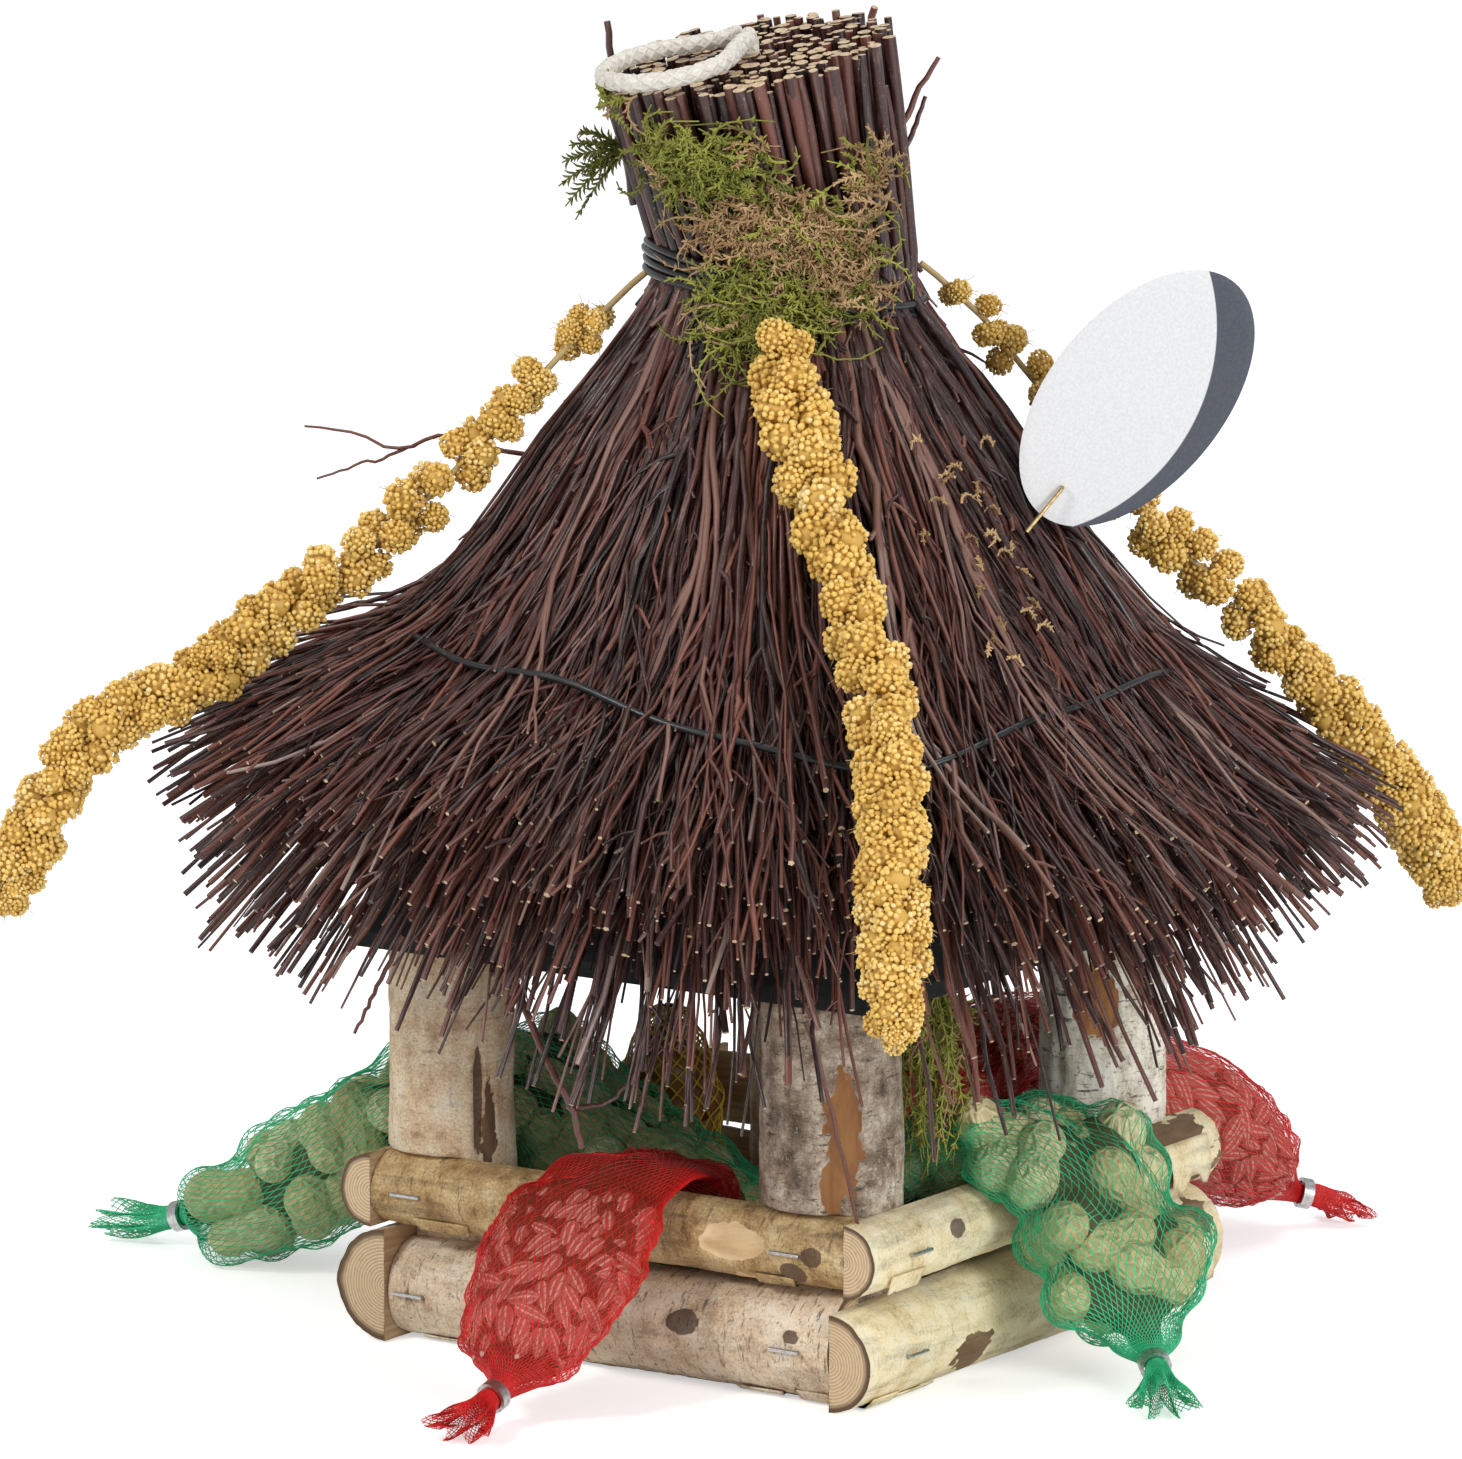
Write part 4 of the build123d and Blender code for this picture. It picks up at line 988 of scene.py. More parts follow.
def roof_fan(wall):
    """Twigs of one quarter from the neck to the eave, with stubs and side shoots."""
    centre = WALLS[wall] - 90
    shape = Shape()
    n, steps = FAN_TWIGS, TWIG_STEPS
    offset = rng.uniform(-45.5, 45.5, n)
    level = np.where(rng.random(n) < 0.22, rng.uniform(0, 0.16, n), rng.beta(1.6, 1.1, n))
    reach = 1 - 0.13 * rng.random(n) ** 1.5
    near_hip = {"front": offset > 36.5, "right": offset < -38}.get(wall, np.zeros(n, bool))
    other_hip = (np.abs(offset) > 41) & ~near_hip & (rng.random(n) < 0.5)
    reach = np.where(near_hip, 0.83 + 0.05 * rng.random(n), np.where(other_hip, 0.91, reach))
    t = np.linspace(0, 1, steps)[None, :]
    share = t * reach[:, None]
    r, z = thatch(level[:, None], share)
    r = r * (1 - 0.07 * np.cos(np.radians(2 * offset))[:, None] * t ** 4)
    left = np.exp(-(wrap(centre + offset - PICTURE_LEFT) / 36) ** 2)
    r = r * (1 + (0.085 * left * (1 - 0.8 * level))[:, None] * t ** 3)
    r = r - 4.0 * level[:, None] * np.exp(-((share - tie_share(centre + offset)[:, None]) / 0.07) ** 2)
    cross = np.where(rng.random(n) < 0.35, 7.5, 2.4) * np.where(near_hip, 0.3, 1.0)
    drift = rng.normal(size=(n, 1)) * cross[:, None] * t ** 1.3
    sideways = walk(n, steps, 1.7)
    swing, pace, start = [rng.uniform(a, b, (n, 1)) for a, b in ((0.5, 3.5), (6, 13), (0, 6.3))]
    sideways = sideways + swing * np.sin(pace * t + start) * t
    sideways = sideways + rng.normal(size=(n, 1)) * 3.6 * t ** 6
    azimuth = centre + np.clip(offset[:, None] + drift, -47, 47)
    azimuth = azimuth + np.degrees(sideways / np.maximum(r, 30))
    z = z + walk(n, steps, 1.1) + rng.normal(size=(n, 1)) * 5.5 * t ** 5
    z = z + (eave_height(centre + offset) - BASE_EAVE)[:, None] * (1 - level[:, None]) * t ** 3
    routes = leaned(sag(polar(azimuth, r, z), level[:, None]), z)
    thick = 0.68 + 1.0 * rng.random((n, 1)) ** 1.7
    radii = thick * (1.14 - 0.56 * t) * rng.uniform(0.82, 1.2, (n, steps))
    tone = rng.beta(0.95, 1.15, n)
    cut = rng.random(n) < 0.5
    for pick, pale in ((cut, 0.95), (~cut, 0.0)):
        tubes(shape, routes[pick], radii[pick], 5, tone=tone[pick], caps=(None, pale))
    spurs(shape, routes, radii, tone, 3)
    forked = rng.choice(np.flatnonzero(~near_hip), n)
    start = rng.uniform(0.2, 0.8, (n, 1))
    s = np.linspace(0, 1, 8)[None, :]
    along = start + (1 - start) * s * rng.uniform(0.6, 1.0, (n, 1))
    spread = rng.choice([-1, 1], (n, 1)) * rng.uniform(2.0, 13.0, (n, 1))
    index = along * (steps - 1)
    low = np.minimum(index.astype(int), steps - 2)
    mix = (index - low)[..., None]
    rows = forked[:, None]
    base = routes[rows, low] * (1 - mix) + routes[rows, low + 1] * mix
    base = turn_each(base, spread * s ** 1.2)
    base[..., 2] += np.abs(rng.normal(size=(n, 1))) * 4.5 * s ** 2 + 1.8 * np.sin(math.pi * s)
    base += rng.normal(size=base.shape) * 0.45
    tubes(shape, base, thick[forked] * (0.8 - 0.42 * s), 5, tone=tone[forked], caps=(None, 0.5))
    return shape


COLLAR_Z, STEMS = 322.0, 520  # where the stems begin to lean, and how many the crown has


def crown_stems(shape, wall):
    """Butt ends above the neck in one quarter, leaning with the crown."""
    i = np.arange(STEMS)
    radius = 38.5 * np.sqrt((i + 0.5) / STEMS)
    degrees = (i * GOLDEN_DEGREES) % 360
    mine = np.abs(wrap(degrees - (WALLS[wall] - 90))) <= 45
    radius, degrees = radius[mine], degrees[mine]
    n = len(radius)
    thick = rng.uniform(1.0, 2.1, n)
    foot, collar = [polar(degrees, radius, np.full(n, z)) for z in (298.0, COLLAR_Z)]
    top = foot * [1.07, 1.07, 1.0]
    top[:, :2] += CROWN_TOP[:2] + rng.normal(size=(n, 2)) * 2.2
    fall = rng.random(n) ** 2 * 4 + np.where(rng.random(n) < 0.16, rng.uniform(6, 40, n), 0)
    top[:, 2] = CROWN_TOP[2] - (top[:, :2] - CROWN_TOP[:2]) @ CROWN_SLOPE - 1.0
    top += (collar - top) * (fall / (top[:, 2] - COLLAR_Z))[:, None]
    s = np.linspace(0, 1, 7)[None, :, None]
    bow = np.column_stack([rng.normal(size=(n, 2)) * 1.2, np.zeros(n)])
    middle = (collar * 0.45 + top * 0.55) + bow
    upper = (1 - s) ** 2 * collar[:, None] + 2 * s * (1 - s) * middle[:, None] + s ** 2 * top[:, None]
    routes = np.concatenate([foot[:, None], upper], 1)
    radii = thick[:, None] * np.linspace(0.95, 1.05, 8)[None]
    tubes(shape, routes, radii, 8, tone=rng.beta(1.0, 2.6, n), caps=(None, 1.0))


STRAYS = [  # sideways, away from the viewpoint and height of each stray twig's points, then its end radii
    ([(-66, 4, 258), (-90, 0, 264), (-102, -2, 267), (-114, -3, 263), (-128, -3, 268), (-142, -3, 270)], 0.9, 0.4),
    ([(-108, -2, 265), (-117, -3, 261), (-127, -3, 258), (-138, -3, 254)], 0.6, 0.35),
    ([(27, -6, 330), (32, -6, 352), (37, -6, 365), (45, -6, 380)], 1.6, 0.7),
    ([(30, -2, 340), (37, -3, 356), (41, -3, 368)], 1.1, 0.6),
    ([(-44, 2, 335), (-49, 1, 362), (-52, 0, 390)], 1.4, 1.0),
    ([(22, 10, 345), (25, 8, 372), (26, 7, 393)], 1.5, 1.2),
    ([(-80, -112, 130), (-69, -124, 105), (-62, -128, 92), (-59, -128, 80)], 1.3, 1.0),
    ([(-62, -127, 91), (-52, -128, 93), (-45, -128, 99), (-38, -127, 110)], 0.7, 0.4),
    ([(6, -132, 118), (12, -131, 96), (19, -124, 64), (26, -119, 38)], 0.8, 0.4),
    ([(-112, -60, 128), (-121, -62, 110), (-126, -62, 99)], 0.8, 0.5),
]


def stray_twigs(shape):
    for points, start, end in STRAYS:
        p = smooth(points, 16)
        route = p[:, :1] * PICTURE_RIGHT + p[:, 1:2] * PICTURE_AWAY + p[:, 2:] * [0, 0, 1.0]
        route = route + rng.normal(size=route.shape) * 0.25
        tubes(shape, route, np.linspace(start, end, 16), 6, tone=0.3 + 0.5 * rng.random(), caps=(None, 0.8))


def wire_ring(name, node, route, radius):
    shape = Shape()
    tubes(shape, route, radius, 8, tone=0.5, caps=(0.2, 0.2))
    dress(shape, name, ["black_wire"], "feeder", "black_wire", node)


def roof():
    for wall in WALLS:
        shape = roof_fan(wall)
        crown_stems(shape, wall)
        if wall == "front":
            stray_twigs(shape)
        dress(shape, "thatch_" + wall, ["twig"], "feeder", "twig", "twig_fan_" + wall)
    t = np.linspace(0, 4.6, 420)
    azimuth = -20 + 360 * t
    height = 308.5 + 2.0 * t + 8.5 * np.cos(np.radians(azimuth - PICTURE_LEFT))
    height = height + 0.8 * np.sin(7.3 * t) + 0.4 * np.sin(17 * t)
    far = 40.8 + 0.5 * np.sin(9.7 * t)
    wire_ring("neck_winding", "neck_tie", polar(azimuth, far, height), 1.25)
    t = np.linspace(0, 1, 260)
    far, height = thatch(np.ones(260), tie_share(360 * t))
    height = height + 2.6 * np.sin(2 * math.pi * 3 * t + 1) + 1.3 * np.sin(2 * math.pi * 11 * t)
    ring = polar(360 * t, far - 2.6 + 1.0 * np.sin(2 * math.pi * 9 * t), height)
    wire_ring("eave_wire", "eave_tie", sag(ring), 1.1)


# Millet

def ball(rows, columns):
    """Small closed ball as points and triangles."""
    points = [(0, 0, -1)]
    for i in range(1, rows):
        lat = math.pi * (i / rows - 0.5)
        for j in range(columns):
            lon = 2 * math.pi * (j + 0.5 * (i % 2)) / columns
            points.append((math.cos(lat) * math.cos(lon), math.cos(lat) * math.sin(lon), math.sin(lat)))
    points.append((0, 0, 1))
    faces = []
    for j in range(columns):
        k = (j + 1) % columns
        faces.append((0, 1 + k, 1 + j))
        for i in range(rows - 2):
            a, b = 1 + i * columns, 1 + (i + 1) * columns
            if i % 2 == 0:
                faces += [(a + j, a + k, b + j), (a + k, b + k, b + j)]
            else:
                faces += [(a + j, b + k, b + j), (a + j, a + k, b + k)]
        last = 1 + (rows - 2) * columns
        faces.append((last + j, last + k, len(points) - 1))
    return np.array(points, float), np.array(faces)


# Azimuth of each spray, and how far its end reaches past the others
SPRAYS = {"left": (-135.0, 31.0), "front": (-47.5, 0.0), "right": (45.0, 0.0), "back": (135.0, 0.0)}
LIFTS = {  # radius, and how much higher the spray lies there
    "left": ((46, 65, 90, 115, 148, 180, 195, 215, 234), (0, 5, 8, 9, 8, 11, 10, 5, 2)),
    "right": ((46, 60, 90, 120, 135, 150, 170, 185, 195, 203), (0, 4, 2, -3, -5, -10, -18, -22, -17, -6)),
}
FRONT_SWING = ((46, 70, 100, 135, 165, 185, 203), (-9, -9, -1, 5, 5, 2, 0))  # radius, sideways
ICO = (1 + 5 ** 0.5) / 2
GRAIN = unit(np.array([(-1, ICO, 0), (1, ICO, 0), (-1, -ICO, 0), (1, -ICO, 0), (0, -1, ICO), (0, 1, ICO),
                       (0, -1, -ICO), (0, 1, -ICO), (ICO, 0, -1), (ICO, 0, 1), (-ICO, 0, -1), (-ICO, 0, 1)], float))
GRAIN_FACES = np.array([
    (0, 11, 5), (0, 5, 1), (0, 1, 7), (0, 7, 10), (0, 10, 11), (1, 5, 9), (5, 11, 4), (11, 10, 2),
    (10, 7, 6), (7, 1, 8), (3, 9, 4), (3, 4, 2), (3, 2, 6), (3, 6, 8), (3, 8, 9), (4, 9, 5),
    (2, 4, 11), (6, 2, 10), (8, 6, 7), (9, 8, 1),
])
CLUSTERS, GRAINS, HAIRS = 104, 95, 600  # clusters on a spray, grains in a cluster, hairs on a spray


def spray(name):
    """Seed head: round clusters of small grains set in turn about a thin stem."""
    azimuth, reach = SPRAYS[name]
    front = name == "front"
    rows = [(45.95, 313), (77.8, 275.1), (111.1, 238.9), (152.7, 208.8), (177.0, 187.8),
            (191 + 0.5 * reach, 167.8 + 0.3 * reach), (199 + 0.85 * reach, 145.8 + 0.15 * reach),
            (203 + reach, 123.8 + 0.2 * reach)]
    line = smooth(rows, 120)
    if name in LIFTS:
        line[:, 1] += np.interp(line[:, 0], *LIFTS[name])
    swing = np.interp(line[:, 0], *FRONT_SWING) if front else 0.0
    route = polar(azimuth + np.degrees(swing / line[:, 0]), line[:, 0], line[:, 1])
    ahead, side, other = frames_along(route)
    shape = Shape()
    tuck = polar(azimuth, 44.4, 314.6) if front else polar(azimuth, 41.0, 317.0)
    tubes(shape, np.vstack([tuck, route]), np.linspace(1.0, 0.6, 121), 6, slot=1, tone=0.35, caps=(0.0, 0.0))
    s = np.linspace(0.04 if front else 0.015, 0.985, CLUSTERS)
    keep = (s > 0.3) | (rng.random(CLUSTERS) < (1.0 if front else 0.72))
    s = np.clip(s[keep] + rng.normal(size=keep.sum()) * 0.003, 0, 1)
    n = len(s)
    sizes = [9.0, 12.5, 11.0, 10.5, 8.5, 5.0] if front else [5.5, 8.0, 10, 10.5, 8.5, 5.0]
    far = np.interp(s, [0, 0.1, 0.3, 0.85, 0.95, 1], sizes)
    around = np.arange(n) * GOLDEN_RADIANS + rng.normal(size=n) * 0.35
    i = np.minimum((s * 119).astype(int), 119)
    out = np.cos(around)[:, None] * side[i] + np.sin(around)[:, None] * other[i]
    lump = far * rng.uniform(0.42, 0.57, n)
    centre = route[i] + out * (far - lump)[:, None]
    place = np.arange(GRAINS) + 0.5
    lat, lon = np.arccos(1 - 2 * place / GRAINS), math.pi * (1 + 5 ** 0.5) * place
    dots = np.stack([np.cos(lon) * np.sin(lat), np.sin(lon) * np.sin(lat), np.cos(lat)], -1)
    dots = unit(dots + rng.normal(size=(n, GRAINS, 3)) * 0.07)
    spread = np.einsum("kpj,kji->kpi", dots, random_axes(n)) * rng.uniform(0.86, 1.14, (n, 1, 3))
    spread = spread * lump[:, None, None] * rng.uniform(0.9, 1.06, (n, GRAINS, 1))
    grains = (centre[:, None] + spread).reshape(-1, 3)
    deep = np.linalg.norm(grains[:, None] - centre[None], axis=-1) < 0.93 * lump[None] - 0.3
    shown = ~deep.any(1)
    tone = np.repeat(rng.normal(0.5, 0.12, n), GRAINS) + rng.normal(size=n * GRAINS) * 0.17
    tone = np.clip(tone, 0, 1)[shown]
    size = np.repeat(0.165 * lump, GRAINS)[shown] * rng.uniform(0.85, 1.12, shown.sum())
    placed(shape, GRAIN * [1, 1, 1.15], GRAIN_FACES, grains[shown], random_axes(shown.sum()), size, 0, tone)
    # A ball inside each cluster at a low tone, darker than the grains round it: painted shade between the grains.
    placed(shape, *ball(7, 10), centre, random_axes(n), 0.8 * lump, 0, 0.15)
    stalk = np.stack([route[i] - ahead[i] * 2, (route[i] + centre) / 2, centre], 1)
    tubes(shape, stalk, 0.4, 4, slot=1, tone=0.4, caps=(None, None))
    pick = rng.choice(np.flatnonzero(shown), HAIRS)
    base, owner = grains[pick], pick // GRAINS
    away = unit(base - centre[owner] + 1.2 * lump[owner, None] * ahead[i[owner]] * 0.5)
    tip = base + away * rng.uniform(1.5, 3.6, (HAIRS, 1))
    bend = (base + tip) / 2 + rng.normal(size=(HAIRS, 3)) * 0.2
    tubes(shape, np.stack([base, bend, tip], 1), np.array([0.12, 0.1, 0.06]), 3,
          slot=1, tone=rng.random(HAIRS), caps=(None, None))
    dress(shape, "millet_" + name, ["grain", "straw"], "spray_" + name, "millet", "millet_spray_" + name)


# Net bags. Rows: along the wall, out from the rails, height, half width, half depth.

OUTER_BAGS = {
    "front": (2, [(2, 15, 50, 25, 7.5), (5, 34, 36, 24, 12), (7, 50, 23, 18.5, 13), (8, 58, 15, 11, 8),
                   (8, 64, 10, 3.2, 3.2), (8, 71, 8, 3.2, 3.2), (10, 80, 6, 5.5, 3.6), (11, 90, 5, 8.5, 3.2)]),
    "right": (-3, [(-7, 14, 60, 26, 11), (-9, 25, 43, 27, 15), (-14, 36, 26, 23, 15), (-17, 43, 15, 13, 8),
                  (-21, 48, 10, 3.2, 3.2), (-26, 53, 8, 3.2, 3.2), (-37, 61, 6, 5.5, 3.6), (-48, 69, 5, 8.5, 3.2)]),
    "left": (19, [(21, 15, 61, 29, 15), (25, 42, 40, 30, 18), (29, 70, 22, 28, 19), (30, 90, 14, 18, 12),
                  (30, 104, 11, 3.2, 3.2), (30, 111, 9, 3.2, 3.2), (30, 121, 7, 6, 3.6), (29, 133, 6, 9, 3.2)]),
    "back": (-12, [(-20, 15, 65, 29, 15), (-32, 38, 50, 30, 19), (-46, 64, 35, 28, 21), (-57, 80, 22, 18, 14),
                   (-65, 91, 11, 3.2, 3.2), (-70, 97, 9, 3.2, 3.2), (-74, 102, 6, 6, 3), (-75, 107, 3, 9, 2)]),
}
INNER_BAGS = {
    "front": [(0, -30, 52, 25, 8.5), (2, -38, 46, 21, 9), (4, -43, 42, 8, 4)],
    "right": [(-1, -33, 55, 26, 12), (1, -47, 42, 23, 14), (2, -53, 35, 8, 5)],
    "left": [(20, -34, 56, 27, 16), (22, -60, 40, 26, 19), (24, -98, 28, 24, 20),
             (25, -112, 27, 16, 12), (25, -118, 26, 6, 4)],
    "back": [(-11, -31, 57, 25, 12), (-10, -41, 48, 22, 11), (-10, -46, 43, 8, 4)],
}
# Height, half width and half depth where a bag lies over its rail
FOLDS = {"front": (60.0, 27, 3.4), "right": (66.0, 27, 8), "left": (67.5, 30, 10), "back": (67.0, 28, 10)}
BAGS = [  # wall, contents, net, threads each way, their turns and their radius
    ("left", "peanut", "net_green", 60, 0.85, 0.16),
    ("right", "peanut", "net_green", 60, 0.8, 0.16),
    ("front", "seed", "net_red", 64, 0.8, 0.15),
    ("back", "seed", "net_red", 64, 0.8, 0.15),
]
BAG_STEPS, BAG_SIDES = 150, 96


def lathe(r, z, a, flat=1.0):
    """Small mesh of these radii and heights round the third axis."""
    points = stacked(r * np.cos(a), flat * r * np.sin(a), z)
    return points.reshape(-1, 3), grid_faces(*points.shape[:2], True)


def peanut():
    """Two-lobed shell."""
    t = np.linspace(-1, 1, 21)[:, None]
    a = np.linspace(0, 2 * math.pi, 18, endpoint=False)[None, :]
    waist = 1 - 0.2 * np.exp(-((t - 0.08) / 0.3) ** 2)
    r = 8.6 * (1 - np.abs(t) ** 3.2) ** 0.55 * waist * (1 + 0.035 * np.sin(9 * a))
    return lathe(np.maximum(r * np.where(t > 0, 0.93, 1.0), 0.05), 15.5 * t, a, 0.94)


def striped_seed():
    """Flat pointed seed."""
    t = np.linspace(0, 1, 13)[:, None]
    a = np.linspace(0, 2 * math.pi, 14, endpoint=False)[None, :]
    r = np.maximum(2.9 * np.sin(math.pi * t ** 0.72) ** 0.7, 0.05)
    return lathe(r, 13.0 * (t - 0.5), a, 0.6)


def hazelnut():
    t = np.linspace(-1, 1, 15)[:, None]
    a = np.linspace(0, 2 * math.pi, 16, endpoint=False)[None, :]
    r = np.maximum(7.2 * np.sqrt(np.clip(1 - np.abs(t) ** 2.2, 0, 1)), 0.05)
    return lathe(r, 7.6 * t + 0.8 * t ** 9, a)


CONTENTS = {  # mesh, inset of its middle, then places, radius and spacing of the beads that stand for it
    "peanut": (peanut(), 7.8, (-8.5, 0.0, 8.5), 8.0, 11.5),
    "seed": (striped_seed(), 2.6, (-4.0, 0.0, 4.0), 1.9, 3.1),
    "nut": (hazelnut(), 7.0, (0.0,), 7.4, 13.2),
}


class Bag:
    """Middle line, frames and sizes of a bag from its inner end to its tail, not yet turned to its wall."""

    def __init__(self, rows):
        table = smooth(rows, BAG_STEPS)
        self.width, self.depth = np.maximum(table[:, 3], 0.9), np.maximum(table[:, 4], 0.9)
        self.line = np.column_stack([table[:, 0], -OUTER - table[:, 1], table[:, 2]])
        self.ahead = unit(np.gradient(self.line, axis=0))
        flat = self.ahead.copy()
        level = np.abs(flat[:, 2]) > 0.97
        flat[level, 1] = -0.3
        self.across = unit(np.cross(flat, [0, 0, 1.0]))
        self.up = unit(np.cross(self.across, self.ahead))

    def rays(self):
        """Directions out from the middle line and how far the net lies along them."""
        a = np.linspace(0, 2 * math.pi, BAG_SIDES, endpoint=False)[None, :, None]
        wide = self.width[:, None, None] * self.across[:, None]
        deep = self.depth[:, None, None] * self.up[:, None]
        spread = np.cos(a) * wide + np.sin(a) * deep
        far = np.linalg.norm(spread, axis=-1)
        return spread / far[..., None], far

    def pack(self, kind, first, last, tries):
        """Centres, axes and beads of contents just under the net, in steps first to last."""
        mesh, inset, places, _, apart = CONTENTS[kind]
        taken, centres, frames = np.zeros((0, 3)), [], []
        room = np.minimum(self.width, 1.6 * self.depth) > inset + (5.2 if kind == "seed" else 3.0)
        half = np.ptp(mesh[0][:, 2]) / 2 + 1.5
        run = run_along(self.line)
        fits = [i for i in range(first, last) if room[np.abs(run - run[i]) < half].all()]
        for attempt in range(tries):
            near = apart * (1.0 - 0.3 * attempt / tries)
            i = int(rng.choice(fits))
            a = rng.uniform(0, 2 * math.pi)
            w, d = max(self.width[i] - inset, 0), max(self.depth[i] - inset, 0)
            c = self.line[i] + w * math.cos(a) * self.across[i] + d * math.sin(a) * self.up[i]
            outward = math.cos(a) / self.width[i] * self.across[i] + math.sin(a) / self.depth[i] * self.up[i]
            outward = unit(outward)
            round_about = np.cross(outward, self.ahead[i])
            turned = rng.uniform(0, math.pi) if kind != "seed" else rng.normal() * 0.75
            axis = math.cos(turned) * self.ahead[i] + math.sin(turned) * round_about
            axis = unit(axis + 0.06 * rng.normal(size=3))
            beads = c + np.outer(places, axis)
            if len(taken) and np.min(np.linalg.norm(taken[:, None] - beads[None], axis=-1)) < near:
                continue
            y = unit(outward - outward.dot(axis) * axis)
            taken = np.concatenate([taken, beads])
            centres.append(c)
            frames.append([np.cross(y, axis), y, axis])
        return np.array(centres), np.array(frames), taken

    def draped(self, beads, radius):
        """Distance of the net from the middle line: over the contents, sunk between them."""
        ray, far = self.rays()
        found = 0.86 * far
        for c in beads:
            to = c - self.line[:, None]
            b = (ray * to).sum(-1)
            reach = b * b - (to ** 2).sum(-1) + radius ** 2
            hit = np.where(reach > 0, b + np.sqrt(np.maximum(reach, 0)), 0)
            found = np.maximum(found, hit)
        found = np.minimum(found, far + 9.0)
        thin = step(self.width, 8, 14)[:, None]
        found = thin * found + (1 - thin) * far
        soft = found
        for _ in range(6):
            soft = (np.roll(soft, 1, 1) + np.roll(soft, -1, 1) + 2 * soft) / 4
            padded = np.concatenate([soft[:1], soft, soft[-1:]])
            soft = (padded[:-2] + padded[2:] + 2 * soft) / 4
        waves = np.sin(np.arange(BAG_SIDES) * 18 * math.pi / BAG_SIDES)[None]
        gathered = step(np.arange(BAG_STEPS), BAG_STEPS - 22, BAG_STEPS - 8)[:, None]
        pleats = 1 + 0.3 * waves * gathered
        return ray, thin * np.maximum(found, soft) + (1 - thin) * far * pleats + 0.35


def off_the_wall(points):
    """Keeps points of a bag outside the rail it hangs over and above the ground."""
    p = points.copy()
    out, z = -OUTER - p[..., 1] + RAIL_RADIUS, p[..., 2] - RAIL_Z - RAIL_RADIUS
    far = np.hypot(out, z)
    push = (out > -0.5) & (far < RAIL_RADIUS + 0.9)
    scale = np.where(push, (RAIL_RADIUS + 0.9) / np.maximum(far, 0.1), 1.0)
    p[..., 1] = -OUTER - (out * scale - RAIL_RADIUS)
    p[..., 2] = np.maximum(z * scale + RAIL_Z + RAIL_RADIUS, 0.6)
    return p


def net_threads(shape, grid, count, turns, thread, sides):
    """Two families of threads that cross on a draped grid."""
    steps, around = grid.shape[:2]
    s = np.linspace(0, steps - 1, 130)
    low = np.minimum(s.astype(int), steps - 2)
    mix = (s - low)[:, None]
    for way in (-1, 1):
        for k in range(count):
            place = (k / count + way * turns * s / steps) * around
            left = np.floor(place).astype(int)
            part = (place - left)[:, None]
            a, b = left % around, (left + 1) % around
            near = grid[low, a] * (1 - part) + grid[low, b] * part
            far = grid[low + 1, a] * (1 - part) + grid[low + 1, b] * part
            tubes(shape, near * (1 - mix) + far * mix, thread, sides, tone=rng.random(), caps=(None, None))


def wall_bag(wall, kind, net, count, turns, thread):
    """Bag over a wall: the contents of both halves, then the net, which bends where it lies on the rail."""
    along, outer = OUTER_BAGS[wall]
    inner = [(along, -17, *FOLDS[wall])] + INNER_BAGS[wall]
    rows = inner[::-1] + [(along, -5, *FOLDS[wall])] + outer
    bag = Bag(rows)
    fold = round(len(inner) / (len(rows) - 1) * (BAG_STEPS - 1))
    mine, angle, seeds = "bag_" + wall, WALLS[wall], kind == "seed"
    tries = 5000 if seeds else 2500
    inside = bag.pack(kind, 2, fold - 2, tries)
    outside = bag.pack(kind, fold + 2, BAG_STEPS - 30, tries)
    beads = np.concatenate([inside[2], outside[2]])
    ray, far = bag.draped(beads, CONTENTS[kind][3] + (1.5 if seeds else 1.0))
    count_up = np.arange(BAG_STEPS)[:, None]
    round_it = np.arange(BAG_SIDES)[None] * 2 * math.pi / BAG_SIDES
    tail = step(count_up, BAG_STEPS - 20, BAG_STEPS - 1)[..., None]
    ruffle = 1.7 * np.sin(6 * round_it + 0.12 * count_up)[..., None] * bag.up[:, None]
    ruffle = ruffle + 1.3 * np.sin(9 * round_it)[..., None] * bag.ahead[:, None]
    grid = off_the_wall(bag.line[:, None] + ray * far[..., None] + tail * ruffle)
    # Dark shell a little inside the net, behind the contents: painted shade for the bag's shadowed inside.
    deep = np.maximum(far - (3.2 if seeds else 9.0), 0.45 * far)
    painted_shade_core = off_the_wall(bag.line[:, None] + ray * deep[..., None])
    halves = (("feeder", "inside", "bag_inner_", inside, painted_shade_core[:fold + 1]),
              (mine, "outside", "bag_outer_", outside, painted_shade_core[fold:BAG_STEPS - 26]))
    for body, half, node, (centres, frames, _), part in halves:
        shape = Shape()
        sizes, tones = rng.uniform(0.88, 1.05, len(centres)), rng.random(len(centres))
        placed(shape, *CONTENTS[kind][0], turn(centres, angle), turn(frames, angle), sizes, 0, tones)
        shape.add(turn(part, angle), grid_faces(len(part), BAG_SIDES, True), 1)
        dress(shape, f"fill_{wall}_{half}", [kind, "fill_painted_shade"], body, net, node + wall)
    shape = Shape()
    net_threads(shape, turn(grid, angle), count, turns, thread, 3)
    shape.add(turn(grid, angle), grid_faces(BAG_STEPS, BAG_SIDES, True), 1)
    obj = shape.build("net_" + wall, [LOOKS[net], LOOKS[net.replace("net", "film")]], None)
    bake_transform(obj)
    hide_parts("bag_outer_" + wall, "bag_inner_" + wall)


